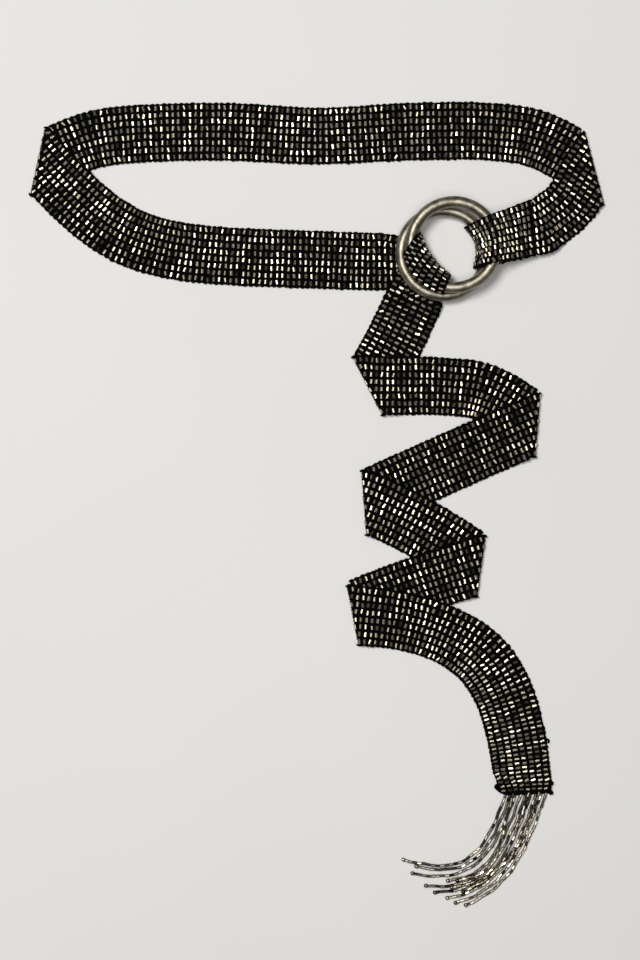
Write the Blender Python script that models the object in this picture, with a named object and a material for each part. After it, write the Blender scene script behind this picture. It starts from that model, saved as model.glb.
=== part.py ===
"""Beaded wrap belt with two rings and a fringed tail, laid flat in loose folds.

The belt is one long strap, 38 mm wide, of eight lengthwise columns of beads between knitted cords.
One end is sewn round two wire rings. From there the strap runs right, folds over, runs left along the
top, folds over again and comes back under both rings. It turns up through them, goes over the upper
ring and under the lower one, and its tail falls in five zigzag folds to a bound hem with a fringe.
Each stretch between two folds is a solid of its own, and the round bend of a fold belongs to the upper one.

Metres, +Z up, standing on z = 0. The plan is read from above, with +Y up the page.
"""

import math

import bmesh
import bpy
import numpy as np
from mathutils import Matrix, Vector

MM = 0.001

# Strap
STRAP_WIDTH = 38.0 * MM
WALL = 2.6 * MM  # over a bead column
GROOVE = 0.6 * MM  # how far the cords lie below the beads
COLUMNS = 8
LAYER_GAP = 0.5 * MM  # between two layers at a fold
SEAM_GAP = 0.3 * MM
JOIN_SEAM_GAP = 0.39 * MM  # at the loop and the wrap, where the sections are slightly askew
SLANT_SEAM_GAP = 0.48 * MM  # where a slanted wall's end meets an upright one
STEP = 12.0 * MM  # between sections of a stretch
BEND_STEPS = 6
REST_MARGIN = 2.2 * MM  # an upper layer stays level this far past the lower one's edge
REST_FALL = 10.0 * MM  # and comes down to the ground over this length
INNER_EVERY_FLAT = 4  # the plain underside has a point under every fourth outer point
INNER_EVERY_ROUND = 2

# Rings
RING_RADIUS = 28.2 * MM  # of the wire's centreline
WIRE_RADIUS = 3.8 * MM
RING_SEGMENTS = 40
WIRE_SIDES = 10
LEAN_HEADING = 45.0  # plan direction from the lower ring's centre to the upper one's, degrees
# Places in mm. Heights are of the wire's centreline, at its near and its far side along that direction.
UPPER_RING = {"centre": (90.3, 170.1), "near_z": 15.7, "far_z": 16.7}
LOWER_RING = {"centre": (84.2, 165.3), "near_z": 9.0, "far_z": 6.2}

# Wrap over the upper ring and under the lower one
WRAP_WALL_MIDDLE = 1.6 * MM
WRAP_WALL_EDGE = 1.1 * MM
WIRE_GAP = 0.3 * MM
CLEARING_ROUNDS = 6  # turns of moving the strap out of one wire and then the other
WRAP_FOLD = {"upper_left": (67.6, 180.6), "lower_right": (88.6, 150.6), "sag": 3.3}
WRAP_FOLD_REACH = 4.0 * MM
WRAP_OVER_ANGLES = (178.0, 259.0)  # round the upper ring, from the strap's left edge to its right
WRAP_UNDER_ANGLES = (188.0, 268.0)  # round the lower ring
WRAP_RISE_SHARE = 0.35
WRAP_ROUND_SPARE = 0.01 * MM  # the two rounds of a line never quite touch
WRAP_SECTIONS = (5, 6, 5, 5)  # in the fold, the rise, the fall and the round under the wire

# Sewn loop round both rings
LOOP_WALL = 1.8 * MM
LOOP_ANGLES = (50.0, -24.0)  # round the lower ring's inner side, upper edge to lower edge
LOOP_TOP_EDGE = (142.0, 201.0)  # mm, where the loop's upper layer meets the plain strap
LOOP_LOW_EDGE = (145.2, 163.8)
LOOP_JOIN_Z = 7.0 * MM  # middle of the wall there
LOOP_JOIN_SLOPE = -22.0
LOOP_LEAVE_ANGLE = 48.0  # on the upper ring's outer side, where the strap leaves the wire
LOOP_END_BACK = 5.0 * MM  # the sewn end stops this far short of that line
LOOP_EASE = 1.04  # the loop lies a little off the wires
LOOP_SLACK = 1.2 * MM  # and further off at its sides
LOOP_SLOPE_HANDLE = 0.36  # of the slope's length: handles of the curve down to the plain strap
LOOP_BACK_HANDLES = (0.3, 0.55)  # of the underside's length: handles at the sewn end and at the wire
LOOP_BACK_SLOPE = 9.2  # fall of the underside at the sewn end, degrees
LOOP_SECTIONS = {"over": 6, "slope": 7, "round_low": 7, "back": 6}

# Hem and fringe
HEM_LENGTH = 5.0 * MM
HEM_HEIGHT = 3.4 * MM
HEM_EAST = 20.2  # mm to the left of the strap's middle, seen along it
HEM_CORNER = (8.5, 6.5)  # mm, reach and rise of the rounded corner at the other end
HEM_CORNER_TURN = 78.0  # the binding stops at this angle round the corner
HEM_SECTIONS = (6, 6)  # round the corner and along the straight
HEM_TAPER = 0.35  # how much thinner the binding is at the corner's end
STRAP_END = (-16.8, 19.0)  # mm, the strap's edges at the hem, where one corner is drawn in
STRAP_END_REACH = 9.0 * MM
# Across the binding, from the strap outwards, and its height there, as shares of its length and height.
HEM_PROFILE = ((0, 0), (0, 0.45), (0.19, 0.88), (0.5, 1.0), (0.81, 0.88), (1.0, 0.45), (1.0, 0))
BACKING_DEPTH = 2.0 * MM
BACKING_HEIGHT = 2.2 * MM
ROOT_DEPTH = 0.8 * MM  # how far inside the backing a strand starts
BACKING_ENDS = (-12.8, 17.2)
STRAND_WIDTH = 2.2 * MM
STRAND_CLEARANCE = 0.15 * MM
STRAND_SECTIONS = 13

# Fold lines, in mm and degrees: the middle of each bend's axis and the axis's plan direction.
FOLDS = {
    "right": (182.3, 222.8, 104.8),
    "left": (-183.0, 226.5, 77.4),
    "tail_1": (35.5, 78.7, 117.0),
    "tail_2": (144.9, 53.4, 85.5),
    "tail_3": (33.5, 0.4, 94.5),
    "tail_4": (107.3, -41.5, 82.0),
    "tail_5": (25.8, -73.0, 100.7),
}

# Centrelines. Each row is x mm, y mm, heading in degrees and the share of the full width that shows.
CENTRELINES = {
    "right_run": (
        (144.0, 181.3, 12, 1.0),
        (154.6, 187.6, 36, 0.95),
        (168.0, 198.8, 50, 0.95),
        (182.5, 222.2, 55, 1.0),
    ),
    "top_run": (
        (182.3, 222.8, 152, 1.0),
        (149.4, 240.8, 158, 1.0),
        (118.0, 246.5, 175, 1.0),
        (68.8, 246.9, 181, 1.0),
        (9.0, 243.9, 182, 0.98),
        (-50.9, 246.3, 178, 1.0),
        (-110.7, 245.7, 183, 1.0),
        (-145.0, 242.2, 192, 1.0),
        (-183.0, 226.6, 206, 1.0),
    ),
    "lower_run": (
        (-183.0, 226.3, -50, 1.0),
        (-151.0, 194.2, -41, 1.02),
        (-130.9, 180.2, -30, 1.02),
        (-100.7, 169.1, -13, 1.01),
        (-60.0, 164.2, -4, 1.0),
        (0.0, 161.8, -2, 1.0),
        (40.0, 160.5, 0, 1.0),
        (76.0, 162.0, 4, 1.0),
    ),
    "tail_1": (
        (68.2, 141.2, 241, 1.0),
        (52.1, 108.0, 242, 1.02),
        (36.0, 78.7, 240, 1.02),
    ),
    "tail_2": (
        (35.5, 78.3, -4, 1.02),
        (88.0, 77.3, -5, 1.0),
        (112.5, 73.3, -22, 1.0),
        (144.9, 53.2, -35, 1.02),
    ),
    "tail_3": (
        (145.0, 52.0, 204, 1.02),
        (33.4, 2.0, 205, 1.03),
    ),
    "tail_4": (
        (33.5, 0.3, -22, 1.04),
        (107.3, -41.2, -36, 1.05),
    ),
    "tail_5": (
        (107.3, -41.6, 198, 1.0),
        (25.7, -71.4, 205, 1.03),
    ),
    "tail_6": (
        (25.8, -74.3, -6, 1.04),
        (60.0, -79.0, -13, 1.01),
        (90.0, -89.5, -28, 1.01),
        (106.2, -100.2, -42, 1.03),
        (121.6, -120.6, -62, 1.03),
        (130.2, -144.2, -75, 1.02),
        (137.0, -188.0, -86, 1.0),
    ),
}

# Small buckle of the tail's inner edge where it turns downwards: x mm, y mm, height mm, reach mm.
BUCKLE = (88.0, -107.0, 3.2, 12.0)

# Fringe. Each row is the root's place to the left of the strap's middle, then the tip's x and y, all mm,
# the tip's heading in degrees, and the lengths in mm of the two handles of the strand's curve.
STRANDS = (
    (-11.6, 56.5, -236.7, 165, 48, 42),
    (-8.2, 65.0, -241.2, 167, 46, 37),
    (-4.7, 62.4, -245.9, 168, 47, 40),
    (-1.3, 86.0, -250.9, 184, 46, 25),
    (2.2, 71.4, -254.2, 174, 47, 41),
    (5.6, 77.4, -258.8, 182, 46, 39),
    (9.1, 85.6, -262.8, 189, 45, 36),
    (12.5, 91.2, -266.0, 195, 44, 35),
    (15.8, 98.0, -267.6, 202, 46, 33),
)
STRAND_ROOT_HEADING = -109.0

BEAD_COLOR = (0.16, 0.145, 0.125, 1)
THREAD_COLOR = (0.012, 0.012, 0.013, 1)
RING_COLOR = (0.36, 0.34, 0.30, 1)


def clear_scene():
    for old in list(bpy.data.objects):
        bpy.data.objects.remove(old)


def material(name, color, roughness, metallic):
    made = bpy.data.materials.new(name)
    made.use_nodes = True
    shader = made.node_tree.nodes["Principled BSDF"]
    shader.inputs["Base Color"].default_value = color
    shader.inputs["Roughness"].default_value = roughness
    shader.inputs["Metallic"].default_value = metallic
    return made


def unit(degrees):
    """Plan direction of a heading."""
    return np.array([math.cos(math.radians(degrees)), math.sin(math.radians(degrees))])


def smooth(value):
    """Soft step from 0 to 1."""
    share = np.clip(value, 0.0, 1.0)
    return share * share * (3 - 2 * share)


class Centreline:
    """A smooth plan curve through a stretch's rows, prolonged straight past both ends."""

    PROLONG = 45.0 * MM
    SAMPLE = 1.0 * MM
    SEARCH = (0.98, 181)  # share of the prolonged ends that is searched for a crossing, and how many tries

    def __init__(self, rows):
        points = []
        widths = []
        for first, second in zip(rows, rows[1:]):
            start, end = np.array(first[:2]) * MM, np.array(second[:2]) * MM
            reach = np.linalg.norm(end - start)
            leave, arrive = unit(first[2]) * reach, unit(second[2]) * reach
            for t in np.linspace(0, 1, max(4, round(reach / self.SAMPLE)), endpoint=False):
                points.append(
                    (2 * t**3 - 3 * t**2 + 1) * start
                    + (t**3 - 2 * t**2 + t) * leave
                    + (3 * t**2 - 2 * t**3) * end
                    + (t**3 - t**2) * arrive
                )
                widths.append(first[3] + (second[3] - first[3]) * smooth(t))
        points.append(np.array(rows[-1][:2]) * MM)
        widths.append(rows[-1][3])
        before = points[0] - unit(rows[0][2]) * self.PROLONG
        after = points[-1] + unit(rows[-1][2]) * self.PROLONG
        self.points = np.array([before, *points, after])
        self.widths = np.array([widths[0], *widths, widths[-1]])
        steps = np.linalg.norm(np.diff(self.points, axis=0), axis=1)
        self.lengths = np.concatenate([[0], np.cumsum(steps)])
        self.start = self.PROLONG
        self.end = self.lengths[-1] - self.PROLONG

    def at(self, length, across):
        """Plan point at a length along the curve and a distance to its left."""
        x = np.interp(length, self.lengths, self.points[:, 0])
        y = np.interp(length, self.lengths, self.points[:, 1])
        half = 0.5 * self.SAMPLE
        ahead = [np.interp(length + half, self.lengths, self.points[:, k]) for k in (0, 1)]
        behind = [np.interp(length - half, self.lengths, self.points[:, k]) for k in (0, 1)]
        along = np.array(ahead) - np.array(behind)
        along /= np.linalg.norm(along)
        share = np.interp(length, self.lengths, self.widths)
        return np.array([x, y]) + np.array([-along[1], along[0]]) * across * share

    def crossing(self, fold, across, near):
        """Length at which the line that lies across to the left meets a fold's axis."""
        origin, normal = np.array(fold[:2]) * MM, unit(fold[2] + 90)
        share, count = self.SEARCH
        tries = np.linspace(near - self.PROLONG * share, near + self.PROLONG * share, count)
        side = np.array([(self.at(t, across) - origin) @ normal for t in tries])
        flips = np.nonzero(side[:-1] * side[1:] <= 0)[0]
        best = min(flips, key=lambda k: abs(tries[k] - near))
        within = side[best] / (side[best] - side[best + 1])
        return tries[best] + within * (tries[best + 1] - tries[best])

    def nearest(self, point):
        """Plan distance of a point from the curve, and the length at which the curve is nearest."""
        first, second = self.points[:-1], self.points[1:]
        span = second - first
        share = np.clip(((point - first) * span).sum(1) / (span * span).sum(1), 0, 1)
        away = np.linalg.norm(first + span * share[:, None] - point, axis=1)
        best = int(away.argmin())
        along = self.lengths[best] + share[best] * (self.lengths[best + 1] - self.lengths[best])
        return away[best], along


LINES = {name: Centreline(rows) for name, rows in CENTRELINES.items()}
ACROSS = np.linspace(0.5, -0.5, 2 * COLUMNS + 1)  # left edge to right edge, cords and beads in turn


def outer_share(index):
    """Height of the outer face over the plain one as a share of the wall: a bead, or a cord."""
    return 1.0 if index % 2 else 1.0 - GROOVE / WALL


def rest_height(point, lower):
    """Height at which an upper stretch lies at a plan point, over or beside the stretch under it."""
    if lower is None:
        return 0.0
    outside = LINES[lower].nearest(point)[0] - STRAP_WIDTH / 2 - REST_MARGIN
    return (WALL + LAYER_GAP) * (1 - smooth(outside / REST_FALL))


def solid(name, inner, outer, inner_every, look):
    """A closed wall between two grids of points, section by section. The inner one keeps every so many."""
    sections, last = len(outer), len(outer[0]) - 1
    kept = list(range(0, last + 1, inner_every))
    mesh = bmesh.new()
    top = [[mesh.verts.new(p) for p in row] for row in outer]
    low = [{k: mesh.verts.new(row[k]) for k in kept} for row in inner]
    faces = []
    for a in range(sections - 1):
        b = a + 1
        for k in range(last):
            faces.append((top[a][k], top[a][k + 1], top[b][k + 1], top[b][k]))
        for k, n in zip(kept, kept[1:]):
            faces.append((low[a][k], low[b][k], low[b][n], low[a][n]))
        faces.append((low[a][0], top[a][0], top[b][0], low[b][0]))
        faces.append((top[a][last], low[a][last], low[b][last], top[b][last]))
    for a, turned in ((0, False), (sections - 1, True)):
        for k, n in zip(kept, kept[1:]):
            middle = (k + n) // 2
            fan = [(low[a][k], top[a][m + 1], top[a][m]) for m in range(k, middle)]
            fan.append((low[a][k], low[a][n], top[a][middle]))
            fan += [(low[a][n], top[a][m + 1], top[a][m]) for m in range(middle, n)]
            faces += [face[::-1] if turned else face for face in fan]
    for face in faces:
        mesh.faces.new(face)
    bmesh.ops.triangulate(mesh, faces=mesh.faces[:])
    bmesh.ops.recalc_face_normals(mesh, faces=mesh.faces[:])
    data = bpy.data.meshes.new(name)
    mesh.to_mesh(data)
    mesh.free()
    return place(name, data, look)


def place(name, data, look):
    made = bpy.data.objects.new(name, data)
    bpy.context.scene.collection.objects.link(made)
    data.materials.append(look)
    return made


def stretch(
    name,
    look,
    start_fold=None,
    end_fold=None,
    lies_on=None,
    bends_at=None,
    start_pins=None,
    end_pins=None,
    start_low=None,
    start_wall=None,
    pin_reach=28.0 * MM,
    start_reach=9.0 * MM,
    inner_every=INNER_EVERY_FLAT,
    lift=None,
):
    """A flat stretch of strap between two folds, with the round bend at one end if it has one.

    Pins are plan points that an end is drawn to where it is gathered at the rings. The start can also
    have its own height and wall, line by line, which fade out along the stretch.
    """
    line = LINES[name]
    offsets = ACROSS * STRAP_WIDTH
    gap = 0.0 if bends_at == "start" else SEAM_GAP
    first = [line.start] * len(offsets)
    if start_fold:
        first = [line.crossing(FOLDS[start_fold], w, line.start) + gap for w in offsets]
    gap = 0.0 if bends_at == "end" else SEAM_GAP
    last = [line.end] * len(offsets)
    if end_fold:
        last = [line.crossing(FOLDS[end_fold], w, line.end) - gap for w in offsets]
    if start_pins is not None:
        first = [line.nearest(pin)[1] for pin in start_pins]
    if end_pins is not None:
        last = [line.nearest(pin)[1] for pin in end_pins]
    count = max(4, math.ceil((line.end - line.start) / STEP))
    shares = np.linspace(0, 1, count + 1)
    inner, outer = [], []
    for t in shares:
        low_row, top_row = [], []
        for k, w in enumerate(offsets):
            length = first[k] + (last[k] - first[k]) * t
            point = line.at(length, w)
            from_start, to_end = length - first[k], last[k] - length
            wall = WALL
            if start_pins is not None:
                drawn = 1 - smooth(from_start / start_reach)
                point = point + (start_pins[k] - line.at(first[k], w)) * drawn
            if end_pins is not None:
                drawn = 1 - smooth(to_end / pin_reach)
                point = point + (end_pins[k] - line.at(last[k], w)) * drawn
            if start_wall is not None:
                wall = WALL + (start_wall[k] - WALL) * (1 - smooth(from_start / start_reach))
            base = max([rest_height(point, lower) for lower in lies_on or (None,)])
            if start_low is not None:
                base += (start_low[k] - base) * (1 - smooth(from_start / (2 * start_reach)))
            if lift is not None:
                base += lift(point)
            low_row.append((*point, base))
            top_row.append((*point, base + wall * outer_share(k)))
        inner.append(low_row)
        outer.append(top_row)
    if bends_at:
        fold = FOLDS[start_fold if bends_at == "start" else end_fold]
        inner, outer = add_bend(inner, outer, fold, bends_at)
    return solid(name, inner, outer, inner_every, look)


def add_bend(inner, outer, fold, where):
    """Rolls the end of an upper layer half a turn round the fold's axis, down to the ground."""
    edge = inner[0] if where == "start" else inner[-1]
    within = inner[1] if where == "start" else inner[-2]
    away = unit(fold[2] + 90)
    middle = len(edge) // 2
    if (np.array(edge[middle][:2]) - np.array(within[middle][:2])) @ away < 0:
        away = -away
    axis_z = WALL + LAYER_GAP / 2
    extra_inner, extra_outer = [], []
    for angle in np.linspace(-math.pi / 2, math.pi / 2, BEND_STEPS + 1)[:-1]:
        rolled = []
        for depth in (0.0, WALL):
            row = []
            for k, point in enumerate(edge):
                radius = LAYER_GAP / 2 + (depth * outer_share(k) if depth else 0.0)
                plan = np.array(point[:2]) + away * radius * math.cos(angle)
                row.append((*plan, axis_z + radius * math.sin(angle)))
            rolled.append(row)
        extra_inner.append(rolled[0])
        extra_outer.append(rolled[1])
    if where == "start":
        return extra_inner + inner, extra_outer + outer
    return inner + extra_inner[::-1], outer + extra_outer[::-1]


def ring_axes(ring):
    """Centre of a leaning ring, the two directions that span it, the leaning one first, and its lean."""
    rise = (ring["far_z"] - ring["near_z"]) * MM
    lean = math.asin(rise / (2 * RING_RADIUS))
    away = unit(LEAN_HEADING)
    centre = np.array([*(np.array(ring["centre"]) * MM), (ring["near_z"] + ring["far_z"]) / 2 * MM])
    along = np.array([*(away * math.cos(lean)), math.sin(lean)])
    return centre, along, np.array([-away[1], away[0], 0.0]), lean


def ring_point(ring, degrees):
    """Point of the wire's centreline that is seen at this plan angle from the ring's centre, about."""
    centre, along, over, _ = ring_axes(ring)
    turn = math.radians(degrees - LEAN_HEADING)
    return centre + RING_RADIUS * (math.cos(turn) * along + math.sin(turn) * over)


def wire_crossing(ring, origin, heading):
    """Where a plan line from inside a ring meets its wire: distance, height and cosine of its slant."""
    centre, along, over, _ = ring_axes(ring)
    side = np.array([-heading[1], heading[0]])
    a, b = along[:2] @ side, over[:2] @ side
    shift = (centre[:2] - origin) @ side / RING_RADIUS
    base, spread = math.atan2(b, a), math.acos(max(-1.0, min(1.0, -shift / math.hypot(a, b))))
    for turn in (base + spread, base - spread):
        point = centre + RING_RADIUS * (math.cos(turn) * along + math.sin(turn) * over)
        reach = (point[:2] - origin) @ heading
        if reach > 0:
            tangent = (math.cos(turn) * over - math.sin(turn) * along)[:2]
            tangent /= np.linalg.norm(tangent)
            return reach, point[2], abs(tangent @ side)
    raise ValueError("the line starts outside the ring")


def make_ring(name, ring, look):
    centre, _, over, lean = ring_axes(ring)
    bpy.ops.mesh.primitive_torus_add(
        major_radius=RING_RADIUS,
        minor_radius=WIRE_RADIUS,
        major_segments=RING_SEGMENTS,
        minor_segments=WIRE_SIDES,
        location=Vector(centre),
        rotation=Matrix.Rotation(-lean, 4, Vector(over)).to_euler(),
    )
    made = bpy.context.active_object
    made.name = name
    made.data.name = name
    made.data.materials.clear()
    made.data.materials.append(look)
    made.data.shade_smooth()
    return made


def clear_of_wires(point, wall):
    """Moves a point of a wall's middle out of both wires, if it lies too near one."""
    needed = WIRE_RADIUS + WIRE_GAP + wall / 2
    for _ in range(CLEARING_ROUNDS):
        for ring in (UPPER_RING, LOWER_RING):
            centre, along, over, _ = ring_axes(ring)
            a, b = (point - centre) @ along, (point - centre) @ over
            wire = centre + RING_RADIUS * (a * along + b * over) / math.hypot(a, b)
            away = point - wire
            distance = np.linalg.norm(away)
            if distance < needed:
                point = wire + away * needed / distance
    return point


def arc(centre, reach, height, start, end, count):
    """Points of an upright ellipse, by its half reach and half height, between two angles in degrees."""
    turns = np.radians(np.linspace(start, end, count))
    return [(centre[0] + reach * math.cos(t), centre[1] + height * math.sin(t)) for t in turns]


def bezier(a, b, c, d, count):
    points = []
    for t in np.linspace(0, 1, count):
        points.append(
            tuple(
                (1 - t) ** 3 * a[k] + 3 * (1 - t) ** 2 * t * b[k] + 3 * (1 - t) * t * t * c[k] + t**3 * d[k]
                for k in (0, 1)
            )
        )
    return points


def wall_round(name, columns, look):
    """A strap wall along one upright profile for each line across it.

    A profile is its heading, and the plan point, height and wall of each section. The two end sections
    stand upright, so that they meet the next stretch face to face.
    """
    sections = len(columns[0][1])
    inner = [[] for _ in range(sections)]
    outer = [[] for _ in range(sections)]
    for k, (heading, plan, heights, walls) in enumerate(columns):
        track = np.column_stack([plan, heights])
        track = np.array([clear_of_wires(point, wall) for point, wall in zip(track, walls)])
        for s in range(sections):
            ahead = track[min(s + 1, sections - 1)] - track[max(s - 1, 0)]
            rise = 0.0 if s in (0, sections - 1) else ahead[2]
            normal = np.array([*(-heading * rise), ahead[:2] @ heading])
            normal /= np.linalg.norm(normal)
            half = walls[s] / 2
            inner[s].append(tuple(track[s] - normal * half))
            outer[s].append(tuple(track[s] + normal * (walls[s] * outer_share(k) - half)))
    return solid(name, inner, outer, INNER_EVERY_ROUND, look)


def wrap_points():
    """Plan points of the wrap's fold edge, of its crossings over and under the wires, edge to edge."""
    upper, lower = (np.array(WRAP_FOLD[key]) * MM for key in ("upper_left", "lower_right"))
    sag = unit(LEAN_HEADING + 180) * WRAP_FOLD["sag"] * MM
    rows = []
    for share in 0.5 - ACROSS:
        edge = upper + (lower - upper) * share + sag * 4 * share * (1 - share)
        over = ring_point(UPPER_RING, np.interp(share, (0, 1), WRAP_OVER_ANGLES))
        under = ring_point(LOWER_RING, np.interp(share, (0, 1), WRAP_UNDER_ANGLES))
        rows.append((edge, over, under, share))
    return rows


def wrap_wall(share):
    middle = 1 - abs(2 * share - 1) ** 2
    return WRAP_WALL_EDGE + (WRAP_WALL_MIDDLE - WRAP_WALL_EDGE) * middle


def ring_wrap(look):
    """The strap's turn: up inside the rings, over the upper one's wire and down under the lower one's."""
    columns, ends = [], []
    for edge, over, under, share in wrap_points():
        inward = over[:2] - edge
        reach = np.linalg.norm(inward)
        inward /= reach
        outward = under[:2] - over[:2]
        span = np.linalg.norm(outward)
        outward /= span
        slants = [wire_crossing(ring, edge, outward)[2] for ring in (UPPER_RING, LOWER_RING)]
        slant = sum(slants) / 2
        wall = wrap_wall(share)
        drop = under[2] - over[2]
        between = math.hypot(span * slant, drop)
        round_radius = min(WIRE_RADIUS + WIRE_GAP + wall / 2, between / 2 - WRAP_ROUND_SPARE)
        top = over[2] + round_radius
        middle_z = WALL / 2 + WRAP_RISE_SHARE * (top - WALL / 2)
        bend_count, rise_count, fall_count, under_count = WRAP_SECTIONS
        fold_height = middle_z - WALL / 2
        bend = arc((WRAP_FOLD_REACH, middle_z), WRAP_FOLD_REACH, fold_height, -90, -180, bend_count)
        rise = arc((reach, middle_z), reach, top - middle_z, 180, 90, rise_count)[1:]
        centre_line = math.degrees(math.atan2(drop, span * slant))
        tangent = centre_line - math.degrees(math.asin(2 * round_radius / between))
        round_reach = round_radius / slant
        fall = arc((0, over[2]), round_reach, round_radius, 90, tangent + 90, fall_count)[1:]
        under_wire = arc((span, under[2]), round_reach, round_radius, tangent - 90, -90, under_count)
        plan = [edge + inward * s for s, _ in bend + rise]
        plan += [over[:2] + outward * s for s, _ in fall + under_wire]
        heights = [z for _, z in bend + rise + fall + under_wire]
        turn = np.linspace(0, 1, len(bend + rise))
        walls = [WALL + (wall - WALL) * smooth(t) for t in turn] + [wall] * len(fall + under_wire)
        heading = (inward + outward) / np.linalg.norm(inward + outward)
        columns.append((heading, plan, heights, walls))
        ends.append((under[:2], heights[-1] - wall / 2, wall))
    return wall_round("ring_wrap", columns, look), ends


def wrap_seam():
    """Plan points at which the strap coming in ends and its turn round the ring begins."""
    points = []
    for edge, over, _, _ in wrap_points():
        inward = over[:2] - edge
        inward /= np.linalg.norm(inward)
        points.append(edge + inward * (WRAP_FOLD_REACH + JOIN_SEAM_GAP))
    return points


def end_loop(look):
    """The sewn end: under both rings, up inside them, over the upper wire and down to the plain strap."""
    columns = []
    top_edge, low_edge = (np.array(p) * MM for p in (LOOP_TOP_EDGE, LOOP_LOW_EDGE))
    radius = WIRE_RADIUS * LOOP_EASE + WIRE_GAP + LOOP_WALL / 2
    side_radius = radius + LOOP_SLACK
    for share in 0.5 - ACROSS:
        wire = ring_point(LOWER_RING, np.interp(share, (0, 1), LOOP_ANGLES))
        centre = np.array(LOWER_RING["centre"]) * MM
        start = centre + (wire[:2] - centre) * (1 - radius / RING_RADIUS)
        join = top_edge + (low_edge - top_edge) * share
        heading = join - start
        reach = np.linalg.norm(heading)
        heading /= reach
        low_s, low_z, low_slant = wire_crossing(LOWER_RING, start, heading)
        high_s, high_z, high_slant = wire_crossing(UPPER_RING, start, heading)
        slant = (low_slant + high_slant) / 2
        lean = math.degrees(math.atan2(high_z - low_z, (high_s - low_s) * slant)) + 90
        side_reach = side_radius / slant
        over = arc((high_s, high_z), side_reach, radius, lean, LOOP_LEAVE_ANGLE, LOOP_SECTIONS["over"])
        leave = over[-1]
        join_point = (reach, LOOP_JOIN_Z)
        down, flat = unit(LOOP_LEAVE_ANGLE - 90), unit(LOOP_JOIN_SLOPE)
        handle = LOOP_SLOPE_HANDLE * (reach - leave[0])
        slope = bezier(
            leave,
            (leave[0] + down[0] * handle, leave[1] + down[1] * handle),
            (join_point[0] - flat[0] * handle, join_point[1] - flat[1] * handle),
            join_point,
            LOOP_SECTIONS["slope"],
        )[1:]
        low_count = LOOP_SECTIONS["round_low"]
        round_low = arc((low_s, low_z), side_reach, radius, -90, lean - 360, low_count)
        end_s = reach - LOOP_END_BACK
        over_end = np.interp(end_s, [s for s, _ in slope], [z for _, z in slope])
        end_point = (end_s, over_end - (LOOP_WALL + WALL) / 2 - SLANT_SEAM_GAP)
        bottom = round_low[0]
        run = end_s - bottom[0]
        end_handle, bottom_handle = (run * share_of_run for share_of_run in LOOP_BACK_HANDLES)
        end_fall = end_handle * math.tan(math.radians(LOOP_BACK_SLOPE))
        back = bezier(
            end_point,
            (end_point[0] - end_handle, end_point[1] - end_fall),
            (bottom[0] + bottom_handle, bottom[1]),
            bottom,
            LOOP_SECTIONS["back"],
        )[:-1]
        track = back + round_low + over + slope
        walls = [LOOP_WALL] * len(back + round_low + over)
        walls += [LOOP_WALL + (WALL - LOOP_WALL) * smooth(t) for t in np.linspace(0, 1, len(slope) + 1)[1:]]
        columns.append((heading, [start + heading * s for s, _ in track], [z for _, z in track], walls))
    return wall_round("end_loop", columns, look)


def loop_join():
    """Plan points of the seam between the sewn loop and the plain strap to its right."""
    top_edge, low_edge = (np.array(p) * MM for p in (LOOP_TOP_EDGE, LOOP_LOW_EDGE))
    away = unit(CENTRELINES["right_run"][0][2]) * JOIN_SEAM_GAP
    return [top_edge + (low_edge - top_edge) * share + away for share in 0.5 - ACROSS]


def buckle(point):
    """Extra height of the tail near its small buckle."""
    x, y, height, reach = (value * MM for value in BUCKLE)
    away = math.dist(point, (x, y)) / reach
    return height * (1 - smooth(away))


def hem_frame():
    """Middle of the strap's cut end, the direction it points in and the direction to its left."""
    row = CENTRELINES["tail_6"][-1]
    along = unit(row[2])
    return np.array(row[:2]) * MM, along, np.array([-along[1], along[0]])


def strap_end():
    """Plan points of the strap's cut end, left edge to right edge, with its rounded corner."""
    end, along, left = hem_frame()
    reach, rise = HEM_CORNER
    points = []
    for w in ACROSS:
        side = np.interp(w, (-0.5, 0.5), STRAP_END)
        turn = math.asin(max(0.0, min(1.0, (STRAP_END[0] + reach - side) / reach)))
        points.append(end + (left * side - along * rise * (1 - math.cos(turn))) * MM)
    return points


def hem_path(round_count, straight_count):
    """Plan points along the cut end from the rounded corner, each with its outward direction and taper."""
    end, along, left = hem_frame()
    reach, rise = HEM_CORNER
    path = []
    for turn in np.radians(np.linspace(HEM_CORNER_TURN, 0, round_count)):
        side = STRAP_END[0] + reach * (1 - math.sin(turn))
        outward = along * reach * math.cos(turn) - left * rise * math.sin(turn)
        taper = 1 - HEM_TAPER * math.degrees(turn) / HEM_CORNER_TURN
        point = end + (left * side - along * rise * (1 - math.cos(turn))) * MM
        path.append((point, outward / np.linalg.norm(outward), taper))
    for side in np.linspace(STRAP_END[0] + reach, HEM_EAST, straight_count + 1)[1:]:
        path.append((end + left * side * MM, along, 1.0))
    return path


def hem_bar(look):
    """The bound hem: a flat-bottomed rounded bar along the strap's end and round its corner."""
    mesh = bmesh.new()
    rows = []
    for point, outward, taper in hem_path(*HEM_SECTIONS):
        row = []
        for across, height in HEM_PROFILE:
            plan = point + outward * (SEAM_GAP + across * taper * HEM_LENGTH)
            row.append(mesh.verts.new((*plan, height * taper * HEM_HEIGHT)))
        rows.append(row)
    for a, b in zip(rows, rows[1:]):
        for k in range(len(HEM_PROFILE)):
            n = (k + 1) % len(HEM_PROFILE)
            mesh.faces.new((a[k], a[n], b[n], b[k]))
    mesh.faces.new(rows[0])
    mesh.faces.new(rows[-1][::-1])
    bmesh.ops.recalc_face_normals(mesh, faces=mesh.faces[:])
    data = bpy.data.meshes.new("hem_bar")
    mesh.to_mesh(data)
    mesh.free()
    return place("hem_bar", data, look)


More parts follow.
